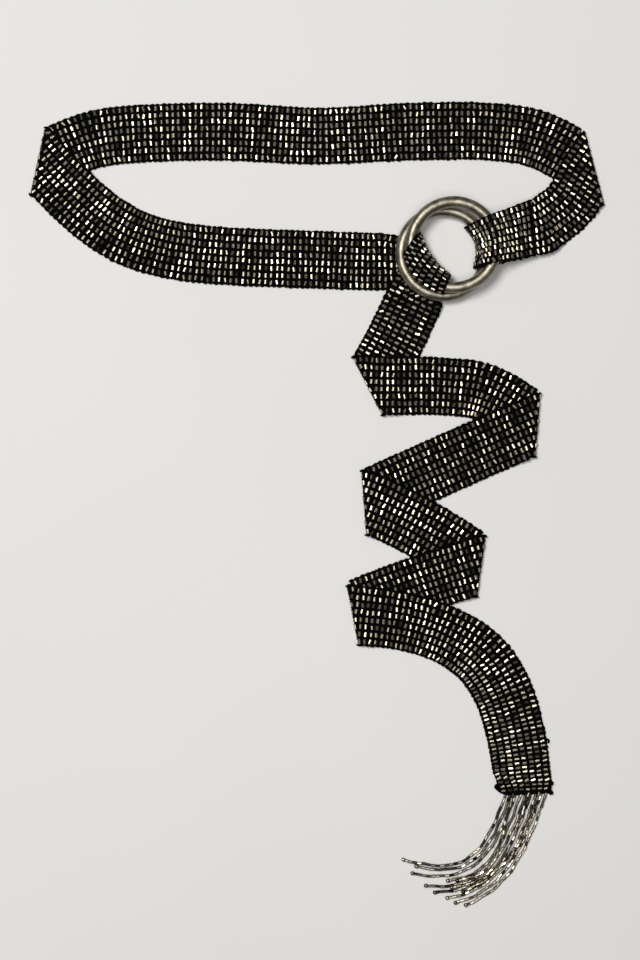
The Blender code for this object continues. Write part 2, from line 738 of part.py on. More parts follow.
def strand_mesh(points, name):
    """A four-sided strand along plan points, lying just clear of the ground."""
    half = STRAND_WIDTH / 2
    middle = STRAND_CLEARANCE + half
    mesh = bmesh.new()
    rows = []
    for k, point in enumerate(points):
        along = points[min(k + 1, len(points) - 1)] - points[max(k - 1, 0)]
        along = along / np.linalg.norm(along)
        side = np.array([-along[1], along[0]]) * half
        corners = [(side, 0), (0 * side, half), (-side, 0), (0 * side, -half)]
        rows.append([mesh.verts.new((*(point + plan), middle + up)) for plan, up in corners])
    for a, b in zip(rows, rows[1:]):
        for k in range(4):
            n = (k + 1) % 4
            mesh.faces.new((a[k], a[n], b[n], b[k]))
    mesh.faces.new(rows[0])
    mesh.faces.new(rows[-1][::-1])
    bmesh.ops.triangulate(mesh, faces=mesh.faces[:])
    bmesh.ops.recalc_face_normals(mesh, faces=mesh.faces[:])
    data = bpy.data.meshes.new(name)
    mesh.to_mesh(data)
    mesh.free()
    return data


def fringe(look):
    """The fringe: strands in a fan of curves, their roots fused into a narrow backing strip."""
    end, along, left = hem_frame()
    face = end + along * (2 * SEAM_GAP + HEM_LENGTH)
    middle = face + along * BACKING_DEPTH / 2 + left * sum(BACKING_ENDS) / 2 * MM
    turn = math.atan2(left[1], left[0])
    bpy.ops.mesh.primitive_cube_add(
        size=1, location=(*middle, BACKING_HEIGHT / 2 + STRAND_CLEARANCE), rotation=(0, 0, turn)
    )
    body = bpy.context.active_object
    body.name = "fringe"
    body.data.name = "fringe"
    body.scale = ((BACKING_ENDS[1] - BACKING_ENDS[0]) * MM, BACKING_DEPTH, BACKING_HEIGHT)
    bpy.ops.object.transform_apply(location=False, rotation=False, scale=True)
    body.data.materials.append(look)
    for number, (place_along, tip_x, tip_y, heading, first, second) in enumerate(STRANDS):
        root = face + along * ROOT_DEPTH + left * place_along * MM
        tip = np.array([tip_x, tip_y]) * MM
        leave, arrive = unit(STRAND_ROOT_HEADING) * first * MM, unit(heading) * second * MM
        curve = bezier(root, root + leave, tip - arrive, tip, STRAND_SECTIONS)
        mesh = strand_mesh([np.array(p) for p in curve], "strand")
        cutter = bpy.data.objects.new(f"strand_{number}", mesh)
        bpy.context.scene.collection.objects.link(cutter)
        union = body.modifiers.new(f"strand_{number}", "BOOLEAN")
        union.operation = "UNION"
        union.object = cutter
        bpy.context.view_layer.objects.active = body
        bpy.ops.object.modifier_apply(modifier=union.name)
        bpy.data.objects.remove(cutter)
    return body


def build():
    clear_scene()
    strap = material("beaded strap", BEAD_COLOR, 0.38, 0.7)
    thread = material("black thread", THREAD_COLOR, 0.85, 0.0)
    metal = material("antique pewter", RING_COLOR, 0.34, 1.0)
    beads = material("fringe beads", BEAD_COLOR, 0.35, 0.8)

    make_ring("ring_upper", UPPER_RING, metal)
    make_ring("ring_lower", LOWER_RING, metal)
    end_loop(strap)
    stretch(
        "right_run",
        strap,
        end_fold="right",
        bends_at="end",
        lies_on=("top_run",),
        start_pins=loop_join(),
        start_low=[LOOP_JOIN_Z - WALL / 2] * len(ACROSS),
    )
    stretch("top_run", strap, start_fold="right", end_fold="left")
    stretch(
        "lower_run", strap, start_fold="left", bends_at="start", lies_on=("top_run",), end_pins=wrap_seam()
    )
    ends = ring_wrap(strap)[1][::-1]  # the strap has turned over, so its left edge is now the other one
    stretch(
        "tail_1",
        strap,
        end_fold="tail_1",
        lies_on=("lower_run",),
        start_pins=[plan + unit(CENTRELINES["tail_1"][0][2]) * SLANT_SEAM_GAP for plan, _, _ in ends],
        start_low=[low for _, low, _ in ends],
        start_wall=[wall for _, _, wall in ends],
        start_reach=8.0 * MM,
        inner_every=INNER_EVERY_ROUND,
    )
    for number in range(2, 7):
        stretch(
            f"tail_{number}",
            strap,
            start_fold=f"tail_{number - 1}",
            end_fold=f"tail_{number}" if number < 6 else None,
            bends_at="start",
            lies_on=(f"tail_{number - 1}",),
            end_pins=strap_end() if number == 6 else None,
            pin_reach=STRAP_END_REACH,
            lift=buckle if number == 6 else None,
        )
    hem_bar(thread)
    fringe(beads)


build()
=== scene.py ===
"""Looks of a beaded wrap belt that lies in loose folds: black knitted cord, small metal beads, two worn
wire rings and a fringe of strung beads.

The strap follows the same centrelines, folds and ring turns as the solid part. Lines run lengthwise along
it, cords and bead columns in turn, and every bead and stitch is placed on one of those lines.
"""

import math

import bpy
import numpy as np
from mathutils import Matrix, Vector


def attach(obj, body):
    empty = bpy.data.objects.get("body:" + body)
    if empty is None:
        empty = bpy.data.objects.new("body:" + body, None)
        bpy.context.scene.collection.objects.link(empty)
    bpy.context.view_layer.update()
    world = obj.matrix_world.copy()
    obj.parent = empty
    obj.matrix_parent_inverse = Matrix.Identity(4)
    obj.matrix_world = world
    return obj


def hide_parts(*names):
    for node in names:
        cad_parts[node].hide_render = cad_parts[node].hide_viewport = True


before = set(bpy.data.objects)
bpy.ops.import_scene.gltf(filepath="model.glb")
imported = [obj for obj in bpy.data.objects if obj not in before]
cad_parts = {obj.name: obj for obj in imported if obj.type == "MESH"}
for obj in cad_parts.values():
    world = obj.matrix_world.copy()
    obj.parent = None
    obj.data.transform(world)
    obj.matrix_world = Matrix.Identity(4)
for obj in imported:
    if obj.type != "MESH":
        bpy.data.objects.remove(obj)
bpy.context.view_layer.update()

MM = 0.001

# Strap
STRAP_WIDTH = 38.0 * MM
WALL = 2.6 * MM
LAYER_GAP = 0.5 * MM
SEAM_GAP = 0.3 * MM
JOIN_SEAM_GAP = 0.39 * MM
SLANT_SEAM_GAP = 0.48 * MM
REST_MARGIN = 2.2 * MM
REST_FALL = 10.0 * MM
STEP = 2.5 * MM
BEND_STEPS = 12
SLOPE_REACH = 0.8 * MM

# Rings
RING_RADIUS = 28.2 * MM
WIRE_RADIUS = 3.8 * MM
LEAN_HEADING = 45.0
UPPER_RING = {"centre": (90.3, 170.1), "near_z": 15.7, "far_z": 16.7}
LOWER_RING = {"centre": (84.2, 165.3), "near_z": 9.0, "far_z": 6.2}

# Wrap over the upper ring and under the lower one
WRAP_WALL_MIDDLE = 1.6 * MM
WRAP_WALL_EDGE = 1.1 * MM
WIRE_GAP = 0.3 * MM
CLEARING_ROUNDS = 6
WRAP_FOLD = {"upper_left": (67.6, 180.6), "lower_right": (88.6, 150.6), "sag": 3.3}
WRAP_FOLD_REACH = 4.0 * MM
WRAP_OVER_ANGLES = (178.0, 259.0)
WRAP_UNDER_ANGLES = (188.0, 268.0)
WRAP_RISE_SHARE = 0.35
WRAP_POINTS = {"bend": 9, "rise": 14, "fall": 10}

# Sewn loop round both rings
LOOP_WALL = 1.8 * MM
LOOP_ANGLES = (50.0, -24.0)
LOOP_TOP_EDGE = (142.0, 201.0)
LOOP_LOW_EDGE = (145.2, 163.8)
LOOP_JOIN_Z = 7.0 * MM
LOOP_JOIN_SLOPE = -22.0
LOOP_LEAVE_ANGLE = 48.0
LOOP_END_BACK = 5.0 * MM
LOOP_EASE = 1.04
LOOP_SLACK = 1.2 * MM
LOOP_SLOPE_HANDLE = 0.36
LOOP_BACK_HANDLES = (0.3, 0.55)
LOOP_BACK_SLOPE = 9.2
LOOP_POINTS = {"back": 16, "round": 16, "over": 12, "slope": 19}

# Hem
HEM_LENGTH = 5.0 * MM
HEM_HEIGHT = 3.4 * MM
HEM_EAST = 20.2
HEM_CORNER = (8.5, 6.5)
HEM_CORNER_TURN = 78.0
HEM_TAPER = 0.35
HEM_WRAPS = (16, 24)
HEM_WRAPPED_END = 18.6
HEM_LEAST_TAPER = 0.74
HEM_OVERHANG = 1.0 * MM
HEM_THREAD = 1.1 * MM
HEM_SKEW = 8.0
HEM_KNOTS = ((19.0, -0.8), (18.4, 5.6))
KNOT_TURNS = range(0, 180, 20)
KNOT_STITCH = (3.3 * MM, 0.7 * MM, 0.75 * MM)
KNOT_STRAY = 0.4 * MM
KNOT_HEIGHTS = (0.42, 0.6)
KNOT_TILT = 30.0
STRAP_END = (-16.8, 19.0)
STRAP_END_REACH = 9.0 * MM

# Threads of one wrap over the hem: shift outwards and lift in mm, turn in degrees, share of the length.
HEM_THREADS = ((0.0, 0.0, -10, 1.0), (-1.2, 0.25, 0, 0.72), (1.2, -0.15, 10, 0.72))

# Bead rows over the hem: reach past the cut end in mm, shares of its width and of the hem's height, and the
# brightest tone.
HEM_ROWS = ((-0.6, 0.96, 0.6, 0.5), (2.2, 0.92, 0.82, 0.22))
HEM_BEADS = {"stray": (0.15, 0.2), "sink": 0.1, "roll": 45.0, "lengths": (0.8, 0.95), "radius": 0.9}

# Beads of the strap. Turns are in degrees. Lengths and radii vary between two shares of their value.
ROW_PITCH = 3.77 * MM
TAIL_PITCH = {"end": 2.95 * MM, "from": 0.45}
COLUMN_PITCH = 4.63 * MM
BEAD_LENGTH = 3.15 * MM
BEAD_RADIUS = 1.12 * MM
BEAD_WALL_SHARE = 0.62
BEAD_SIDES = 8
BEAD_END_MARGIN = 0.9 * MM
BEAD_STRAY = 0.16 * MM
BEAD_SKEW, EDGE_BEAD_SKEW = 7.0, 11.0
BEAD_TILT = 5.0
BEAD_ROLL = 60.0
BEAD_LENGTHS, BEAD_RADII = (0.88, 1.05), (0.88, 1.06)
BEAD_TONES = (0.9, 0.8)
EDGE_BEAD_TONE = 0.75

# Cords of the strap: chain stitches, scallops and the links between them at the edges, and ties
EDGE_CORD_INSET = 0.75 * MM
CORD_OVERRUN = 0.7 * ROW_PITCH
STITCH_LENGTH = 4.1 * MM
STITCH_WIDTH = 1.15 * MM
STITCH_HEIGHT = 1.5 * MM
STITCH_WALL_SHARE = 0.72
STITCH_SWELL = (0.9, 1.1)
STITCH_LEAN, STITCH_LEAN_SPREAD = 17.0, 4.0
STITCH_SIDE, STITCH_DEPTH = 0.42 * MM, 0.1 * MM
SCALLOP_LENGTH = 3.3 * MM
SCALLOP_REACH = 0.25 * MM
SCALLOP_WIDTH = 2.0 * MM
SCALLOP_STRAY, SCALLOP_SKEW = 0.12 * MM, 12.0
LINK_STRAY, LINK_SKEW, LINK_DEPTH = 0.15 * MM, 30.0, 0.2 * MM
LINK_SIZE = (0.8, 0.36, 0.45)
TIE_WIDTH, TIE_WIDTHS = 0.62 * MM, (0.85, 1.2)
TIE_STRAY, TIE_SKEW = 0.12 * MM, 14.0
TIE_LIFT, TIE_HEIGHT = 0.04, 0.26
GROUND_LOW, GROUND_HIGH = 0.2, 0.66

# Painted light: how much brighter or darker the beads of a stretch are painted, where it differs from the
# rest, for light that falls unevenly on the strap.
BEAD_PAINTED_LIGHT = {"top_run": 1.12, "lower_run": 0.8, "tail_2": 0.74, "tail_3": 0.93, "tail_6": 0.86}

# Fringe
STRAND_BEAD_LENGTH = 2.9 * MM
STRAND_BEAD_RADIUS = 1.02 * MM
STRAND_BEAD_GAP = 0.12 * MM
STRAND_Z = 1.15 * MM
STRAND_STRAY, STRAND_SKEW, STRAND_RADII = 0.08 * MM, 2.5, (0.94, 1.06)
STRAND_TUCK = 1.0 * MM
STRAND_POINTS = 60
END_BEAD_RADIUS = 1.35 * MM
END_BEAD_LENGTH = 2.2 * END_BEAD_RADIUS
END_BEAD_TONES = (0.05, 0.6)
THREAD_RADIUS = 0.3 * MM

# Tone of a strand and of each bead on it: shares of the whole, and the shapes of their random spreads.
STRAND_TONE = {"strand": 0.16, "strand_spread": (1.2, 1.0), "bead": 0.8, "bead_spread": (0.42, 1.5)}

# Camera and floor
VIEW_HEIGHT = 638.4 * MM
VIEW_CENTRE = (2.3 * MM, 15.3 * MM)
CAMERA_DISTANCE = 1.5
SENSOR = 36.0
FLOOR_SIZE = 8.0
SKY_COLOR, SKY_STRENGTH = (0.95, 0.96, 1.0, 1), 0.11

# Lamps that look at the middle of the floor: place, width in metres, power in watts and colour.
LAMPS = {
    "key": ((-0.6, 0.5, 2.2), 0.85, 38.0, (1.0, 0.99, 0.968)),
    "top": ((0.15, -0.35, 2.6), 1.1, 15.0, (1.0, 0.993, 0.975)),
}

# Colours
PEWTER = {"dark": (0.175, 0.158, 0.119), "bright": (0.365, 0.336, 0.264), "pits": (0.13, 0.115, 0.09)}
TARNISH = (0.03, 0.026, 0.02)
PAPER = {"dark": (0.79, 0.785, 0.765), "bright": (0.81, 0.806, 0.79)}

# Fold lines, in mm and degrees: the middle of each bend's axis and the axis's plan direction.
FOLDS = {
    "right": (182.3, 222.8, 104.8),
    "left": (-183.0, 226.5, 77.4),
    "tail_1": (35.5, 78.7, 117.0),
    "tail_2": (144.9, 53.4, 85.5),
    "tail_3": (33.5, 0.4, 94.5),
    "tail_4": (107.3, -41.5, 82.0),
    "tail_5": (25.8, -73.0, 100.7),
}

# Centrelines. Each row is x mm, y mm, heading in degrees and the share of the full width that shows.
CENTRELINES = {
    "right_run": (
        (144.0, 181.3, 12, 1.0),
        (154.6, 187.6, 36, 0.95),
        (168.0, 198.8, 50, 0.95),
        (182.5, 222.2, 55, 1.0),
    ),
    "top_run": (
        (182.3, 222.8, 152, 1.0),
        (149.4, 240.8, 158, 1.0),
        (118.0, 246.5, 175, 1.0),
        (68.8, 246.9, 181, 1.0),
        (9.0, 243.9, 182, 0.98),
        (-50.9, 246.3, 178, 1.0),
        (-110.7, 245.7, 183, 1.0),
        (-145.0, 242.2, 192, 1.0),
        (-183.0, 226.6, 206, 1.0),
    ),
    "lower_run": (
        (-183.0, 226.3, -50, 1.0),
        (-151.0, 194.2, -41, 1.02),
        (-130.9, 180.2, -30, 1.02),
        (-100.7, 169.1, -13, 1.01),
        (-60.0, 164.2, -4, 1.0),
        (0.0, 161.8, -2, 1.0),
        (40.0, 160.5, 0, 1.0),
        (76.0, 162.0, 4, 1.0),
    ),
    "tail_1": (
        (68.2, 141.2, 241, 1.0),
        (52.1, 108.0, 242, 1.02),
        (36.0, 78.7, 240, 1.02),
    ),
    "tail_2": (
        (35.5, 78.3, -4, 1.02),
        (88.0, 77.3, -5, 1.0),
        (112.5, 73.3, -22, 1.0),
        (144.9, 53.2, -35, 1.02),
    ),
    "tail_3": (
        (145.0, 52.0, 204, 1.02),
        (33.4, 2.0, 205, 1.03),
    ),
    "tail_4": (
        (33.5, 0.3, -22, 1.04),
        (107.3, -41.2, -36, 1.05),
    ),
    "tail_5": (
        (107.3, -41.6, 198, 1.0),
        (25.7, -71.4, 205, 1.03),
    ),
    "tail_6": (
        (25.8, -74.3, -6, 1.04),
        (60.0, -79.0, -13, 1.01),
        (90.0, -89.5, -28, 1.01),
        (106.2, -100.2, -42, 1.03),
        (121.6, -120.6, -62, 1.03),
        (130.2, -144.2, -75, 1.02),
        (137.0, -188.0, -86, 1.0),
    ),
}

# Small buckle of the tail's inner edge where it turns downwards: x mm, y mm, height mm, reach mm.
BUCKLE = (88.0, -107.0, 3.2, 12.0)
LAST_STRETCH = "tail_6"

# Where a stretch begins at a slanted seam and turns sharply: how far past the seam the first row lies, and
# how much longer its outer edge can be than its middle.
SEAM_ROWS = {"right_run": {"first": 1.5 * MM, "spare": 16.0 * MM}}

# Loose bits of cord, as short rows of plan points and heights in mm.
LOOSE_CORDS = {
    "end_loop": (
        (108.0, 163.0, 21.0),
        (105.4, 159.8, 20.0),
        (105.2, 156.6, 18.5),
        (107.2, 154.6, 18.0),
        (109.8, 155.6, 19.5),
    ),
    "tail_6": ((152.4, -156.6, 1.8), (154.2, -157.4, 2.0), (154.0, -159.4, 1.6)),
}
LOOSE_CORD_WIDTH, LOOSE_STITCH_LENGTH = 1.5 * MM, 1.35

# Fringe. Each row is the root's place to the left of the strap's middle, then the tip's x and y, all mm,
# the tip's heading in degrees, and the lengths in mm of the two handles of the strand's curve.
STRANDS = (
    (-11.6, 56.5, -236.7, 165, 48, 42),
    (-8.2, 65.0, -241.2, 167, 46, 37),
    (-4.7, 62.4, -245.9, 168, 47, 40),
    (-1.3, 86.0, -250.9, 184, 46, 25),
    (2.2, 71.4, -254.2, 174, 47, 41),
    (5.6, 77.4, -258.8, 182, 46, 39),
    (9.1, 85.6, -262.8, 189, 45, 36),
    (12.5, 91.2, -266.0, 195, 44, 35),
    (15.8, 98.0, -267.6, 202, 46, 33),
)
STRAND_ROOT_HEADING = -109.0

# Strands that lie over the others, in the same columns.
CROSSING_STRANDS = (
    (-6.4, 92.0, -250.5, 188, 40, 34),
    (3.6, 96.0, -258.0, 200, 46, 30),
    (10.6, 88.5, -255.5, 190, 34, 44),
)
CROSSING_LIFT = 1.9 * MM
STRAND_WAVE = {"size": 0.28 * MM, "length": 17.0 * MM}

UP = np.array([0.0, 0.0, 1.0])

rng = np.random.default_rng(11)


def unit(degrees):
    """Plan direction of a heading."""
    return np.array([math.cos(math.radians(degrees)), math.sin(math.radians(degrees))])


def smooth(value):
    """Soft step from 0 to 1."""
    share = np.clip(value, 0.0, 1.0)
    return share * share * (3 - 2 * share)


def path_lengths(points):
    """Length along a path at each of its points."""
    return np.concatenate([[0], np.cumsum(np.linalg.norm(np.diff(points, axis=0), axis=1))])


def read_path(points, lengths, at):
    """Point of a path at a length along it, or one row for each coordinate at several lengths."""
    return np.array([np.interp(at, lengths, values) for values in points.T])


def normed(vector):
    return vector / np.linalg.norm(vector)


def metres(*points):
    return [np.array(point) * MM for point in points]


def lines_across():
    """Places of the lines across the strap as shares of its width: edge cord, bead, cord, bead, and so on."""
    places = [(STRAP_WIDTH / 2 - EDGE_CORD_INSET) / STRAP_WIDTH]
    for half_column in range(7, -8, -1):
        places.append(half_column * COLUMN_PITCH / 2 / STRAP_WIDTH)
    return np.array([*places, -places[0]])


ACROSS = lines_across()
CORD_LINES = range(0, len(ACROSS), 2)
BEAD_LINES = range(1, len(ACROSS), 2)
MIDDLE_LINE = len(ACROSS) // 2


class Centreline:
    """A smooth plan curve through a stretch's rows, prolonged straight past both ends."""

    PROLONG = 45.0 * MM
    SAMPLE = 1.0 * MM

    def __init__(self, rows):
        points = []
        widths = []
        for first, second in zip(rows, rows[1:]):
            start, end = np.array(first[:2]) * MM, np.array(second[:2]) * MM
            reach = np.linalg.norm(end - start)
            leave, arrive = unit(first[2]) * reach, unit(second[2]) * reach
            for t in np.linspace(0, 1, max(4, round(reach / self.SAMPLE)), endpoint=False):
                points.append(
                    (2 * t**3 - 3 * t**2 + 1) * start
                    + (t**3 - 2 * t**2 + t) * leave
                    + (3 * t**2 - 2 * t**3) * end
                    + (t**3 - t**2) * arrive
                )
                widths.append(first[3] + (second[3] - first[3]) * smooth(t))
        points.append(np.array(rows[-1][:2]) * MM)
        widths.append(rows[-1][3])
        before = points[0] - unit(rows[0][2]) * self.PROLONG
        after = points[-1] + unit(rows[-1][2]) * self.PROLONG
        self.points = np.array([before, *points, after])
        self.widths = np.array([widths[0], *widths, widths[-1]])
        self.lengths = path_lengths(self.points)
        self.start = self.PROLONG
        self.end = self.lengths[-1] - self.PROLONG

    def at(self, length, across):
        """Plan point at a length along the curve and a distance to its left."""
        half = 0.5 * self.SAMPLE
        here, ahead, behind = (
            read_path(self.points, self.lengths, place) for place in (length, length + half, length - half)
        )
        along = normed(ahead - behind)
        share = np.interp(length, self.lengths, self.widths)
        return here + np.array([-along[1], along[0]]) * across * share

    def crossing(self, fold, across, near):
        """Length at which the line that lies across to the left meets a fold's axis."""
        origin, normal = np.array(fold[:2]) * MM, unit(fold[2] + 90)
        tries = np.linspace(near - self.PROLONG * 0.98, near + self.PROLONG * 0.98, 181)
        side = np.array([(self.at(t, across) - origin) @ normal for t in tries])
        flips = np.nonzero(side[:-1] * side[1:] <= 0)[0]
        best = min(flips, key=lambda k: abs(tries[k] - near))
        share = side[best] / (side[best] - side[best + 1])
        return tries[best] + share * (tries[best + 1] - tries[best])

    def nearest(self, point):
        """Plan distance of a point from the curve, and the length at which the curve is nearest."""
        first, second = self.points[:-1], self.points[1:]
        span = second - first
        share = np.clip(((point - first) * span).sum(1) / (span * span).sum(1), 0, 1)
        away = np.linalg.norm(first + span * share[:, None] - point, axis=1)
        best = int(away.argmin())
        along = self.lengths[best] + share[best] * (self.lengths[best + 1] - self.lengths[best])
        return away[best], along


LINES = {name: Centreline(rows) for name, rows in CENTRELINES.items()}


class Stretch:
    """The strap wall of one stretch: for each section and line, a length along it and two wall points."""

    def __init__(self, name, lengths, inner, outer):
        self.name = name
        self.lengths = np.array(lengths)
        self.inner = np.array(inner)
        self.outer = np.array(outer)
        self.middle = (self.inner + self.outer) / 2

    def ends(self, line):
        return self.lengths[0, line], self.lengths[-1, line]

    def cut_length(self):
        return float(np.mean(self.lengths[-1] - self.lengths[0]))

    def places(self, line, lengths):
        """For each length along a line: the centre, the directions across, along and up, and the wall."""

        def read(points, at):
            return read_path(points[:, line], self.lengths[:, line], at).T

        wall = read(self.outer, lengths) - read(self.inner, lengths)
        thickness = np.linalg.norm(wall, axis=1)
        normal = wall / thickness[:, None]
        first, last = self.ends(line)
        after = read(self.middle, np.minimum(lengths + SLOPE_REACH, last))
        before = read(self.middle, np.maximum(lengths - SLOPE_REACH, first))
        across = np.cross(after - before, normal)
        across /= np.linalg.norm(across, axis=1)[:, None]
        along = np.cross(normal, across)
        return zip(read(self.middle, lengths), zip(across, along, normal), thickness)


def rest_height(point, lower):
    """Height at which an upper stretch lies at a plan point, over or beside the stretch under it."""
    if lower is None:
        return 0.0
    outside = LINES[lower].nearest(point)[0] - STRAP_WIDTH / 2 - REST_MARGIN
    return (WALL + LAYER_GAP) * (1 - smooth(outside / REST_FALL))


def flat_stretch(
    name,
    start_fold=None,
    end_fold=None,
    lies_on=None,
    bends_at=None,
    start_pins=None,
    end_pins=None,
    start_low=None,
    start_wall=None,
    pin_reach=28.0 * MM,
    start_reach=9.0 * MM,
    lift=None,
):
    """A flat stretch of strap between two folds, with the round bend at one end if it has one.

    Pins are plan points that an end is drawn to. The start can also have its own height and wall, line by
    line, which fade out along the stretch.
    """
    line = LINES[name]
    offsets = ACROSS * STRAP_WIDTH

    def edge(fold, pins, near, gap):
        if pins is not None:
            return [line.nearest(pin)[1] for pin in pins]
        return [line.crossing(FOLDS[fold], w, near) + gap if fold else near for w in offsets]

    first = edge(start_fold, start_pins, line.start, 0.0 if bends_at == "start" else SEAM_GAP)
    last = edge(end_fold, end_pins, line.end, 0.0 if bends_at == "end" else -SEAM_GAP)
    count = max(4, math.ceil((line.end - line.start) / STEP))
    lengths, inner, outer = [], [], []
    for t in np.linspace(0, 1, count + 1):
        length_row, low_row, top_row = [], [], []
        for k, w in enumerate(offsets):
            length = first[k] + (last[k] - first[k]) * t
            point = line.at(length, w)
            from_start = length - first[k]
            at_start = 1 - smooth(from_start / start_reach)
            at_end = 1 - smooth((last[k] - length) / pin_reach)
            wall = WALL
            if start_pins is not None:
                point = point + (start_pins[k] - line.at(first[k], w)) * at_start
            if end_pins is not None:
                point = point + (end_pins[k] - line.at(last[k], w)) * at_end
            if start_wall is not None:
                wall = WALL + (start_wall[k] - WALL) * at_start
            base = max([rest_height(point, lower) for lower in lies_on or (None,)])
            if start_low is not None:
                base += (start_low[k] - base) * (1 - smooth(from_start / (2 * start_reach)))
            if lift is not None:
                base += lift(point)
            length_row.append(length)
            low_row.append((*point, base))
            top_row.append((*point, base + wall))
        lengths.append(length_row)
        inner.append(low_row)
        outer.append(top_row)
    if bends_at:
        fold = FOLDS[start_fold if bends_at == "start" else end_fold]
        lengths, inner, outer = add_bend(lengths, inner, outer, fold, bends_at)
    return Stretch(name, lengths, inner, outer)


def add_bend(lengths, inner, outer, fold, where):
    """Rolls the end of an upper layer half a turn round the fold's axis, down to the ground."""
    at_start = where == "start"
    edge, within = (inner[0], inner[1]) if at_start else (inner[-1], inner[-2])
    edge_lengths = np.array(lengths[0] if at_start else lengths[-1])
    away = unit(fold[2] + 90)
    middle = len(edge) // 2
    if (np.array(edge[middle][:2]) - np.array(within[middle][:2])) @ away < 0:
        away = -away
    axis_z = WALL + LAYER_GAP / 2
    bend = {"lengths": [], 0.0: [], WALL: []}
    for angle in np.linspace(-math.pi / 2, math.pi / 2, BEND_STEPS + 1)[:-1]:
        travel = (math.pi / 2 - angle) * (LAYER_GAP + WALL) / 2
        bend["lengths"].append(edge_lengths - travel if at_start else edge_lengths + travel)
        for depth in (0.0, WALL):
            radius = LAYER_GAP / 2 + depth
            row = []
            for point in edge:
                plan = np.array(point[:2]) + away * radius * math.cos(angle)
                row.append((*plan, axis_z + radius * math.sin(angle)))
            bend[depth].append(row)
    if at_start:
        return bend["lengths"] + lengths, bend[0.0] + inner, bend[WALL] + outer
    return lengths + bend["lengths"][::-1], inner + bend[0.0][::-1], outer + bend[WALL][::-1]


def ring_axes(ring):
    """Centre of a leaning ring and the two directions that span its circle, the leaning one first."""
    rise = (ring["far_z"] - ring["near_z"]) * MM
    lean = math.asin(rise / (2 * RING_RADIUS))
    away = unit(LEAN_HEADING)
    centre = np.array([*(np.array(ring["centre"]) * MM), (ring["near_z"] + ring["far_z"]) / 2 * MM])
    along = np.array([*(away * math.cos(lean)), math.sin(lean)])
    return centre, along, np.array([-away[1], away[0], 0.0])


def ring_point(ring, degrees):
    """Point of the wire's centreline that is seen at this plan angle from the ring's centre, about."""
    centre, along, over = ring_axes(ring)
    turn = math.radians(degrees - LEAN_HEADING)
    return centre + RING_RADIUS * (math.cos(turn) * along + math.sin(turn) * over)


def wire_crossing(ring, origin, heading):
    """Where a plan line from inside a ring meets its wire: distance, height and cosine of its slant."""
    centre, along, over = ring_axes(ring)
    side = np.array([-heading[1], heading[0]])
    a, b = along[:2] @ side, over[:2] @ side
    shift = (centre[:2] - origin) @ side / RING_RADIUS
    base, spread = math.atan2(b, a), math.acos(max(-1.0, min(1.0, -shift / math.hypot(a, b))))
    for turn in (base + spread, base - spread):
        point = centre + RING_RADIUS * (math.cos(turn) * along + math.sin(turn) * over)
        reach = (point[:2] - origin) @ heading
        if reach > 0:
            tangent = normed((math.cos(turn) * over - math.sin(turn) * along)[:2])
            return reach, point[2], abs(tangent @ side)
    raise ValueError("the line starts outside the ring")


def clear_of_wires(point, wall):
    """Moves a point of a wall's middle out of both wires, if it lies too near one."""
    needed = WIRE_RADIUS + WIRE_GAP + wall / 2
    for _ in range(CLEARING_ROUNDS):
        for ring in (UPPER_RING, LOWER_RING):
            centre, along, over = ring_axes(ring)
            a, b = (point - centre) @ along, (point - centre) @ over
            wire = centre + RING_RADIUS * (a * along + b * over) / math.hypot(a, b)
            away = point - wire
            distance = np.linalg.norm(away)
            if distance < needed:
                point = wire + away * needed / distance
    return point


def arc(centre, reach, height, start, end, count):
    """Points of an upright ellipse, by its half reach and half height, between two angles in degrees."""
    turns = np.radians(np.linspace(start, end, count))
    return [(centre[0] + reach * math.cos(t), centre[1] + height * math.sin(t)) for t in turns]


def bezier(a, b, c, d, count):
    """Points of a cubic curve with these four handles."""
    a, b, c, d = (np.array(p) for p in (a, b, c, d))
    t = np.linspace(0, 1, count)[:, None]
    u = 1 - t
    return [tuple(p) for p in u**3 * a + 3 * u**2 * t * b + 3 * u * t**2 * c + t**3 * d]


def round_stretch(name, columns):
    """A strap wall along one upright profile for each line: its heading, plan points, heights and walls."""
    sections = len(columns[0][1])
    tracks, inner, outer = [], [[] for _ in range(sections)], [[] for _ in range(sections)]
    for heading, plan, heights, walls in columns:
        track = np.column_stack([plan, heights])
        track = np.array([clear_of_wires(point, wall) for point, wall in zip(track, walls)])
        tracks.append(path_lengths(track))
        for s in range(sections):
            ahead = track[min(s + 1, sections - 1)] - track[max(s - 1, 0)]
            rise = 0.0 if s in (0, sections - 1) else ahead[2]
            normal = normed(np.array([*(-heading * rise), ahead[:2] @ heading]))
            inner[s].append(track[s] - normal * walls[s] / 2)
            outer[s].append(track[s] + normal * walls[s] / 2)
    mean = np.mean([track[-1] for track in tracks])
    lengths = np.array([track * mean / track[-1] for track in tracks]).T
    return Stretch(name, lengths, inner, outer)


def wrap_points():
    """Plan points of the wrap's fold edge, of its crossings over and under the wires, edge to edge."""
    upper, lower = metres(WRAP_FOLD["upper_left"], WRAP_FOLD["lower_right"])
    sag = unit(LEAN_HEADING + 180) * WRAP_FOLD["sag"] * MM
    rows = []
    for share in 0.5 - ACROSS:
        edge = upper + (lower - upper) * share + sag * 4 * share * (1 - share)
        over = ring_point(UPPER_RING, np.interp(share, (0, 1), WRAP_OVER_ANGLES))
        under = ring_point(LOWER_RING, np.interp(share, (0, 1), WRAP_UNDER_ANGLES))
        rows.append((edge, over, under, share))
    return rows


def wrap_wall(share):
    middle = 1 - abs(2 * share - 1) ** 2
    return WRAP_WALL_EDGE + (WRAP_WALL_MIDDLE - WRAP_WALL_EDGE) * middle


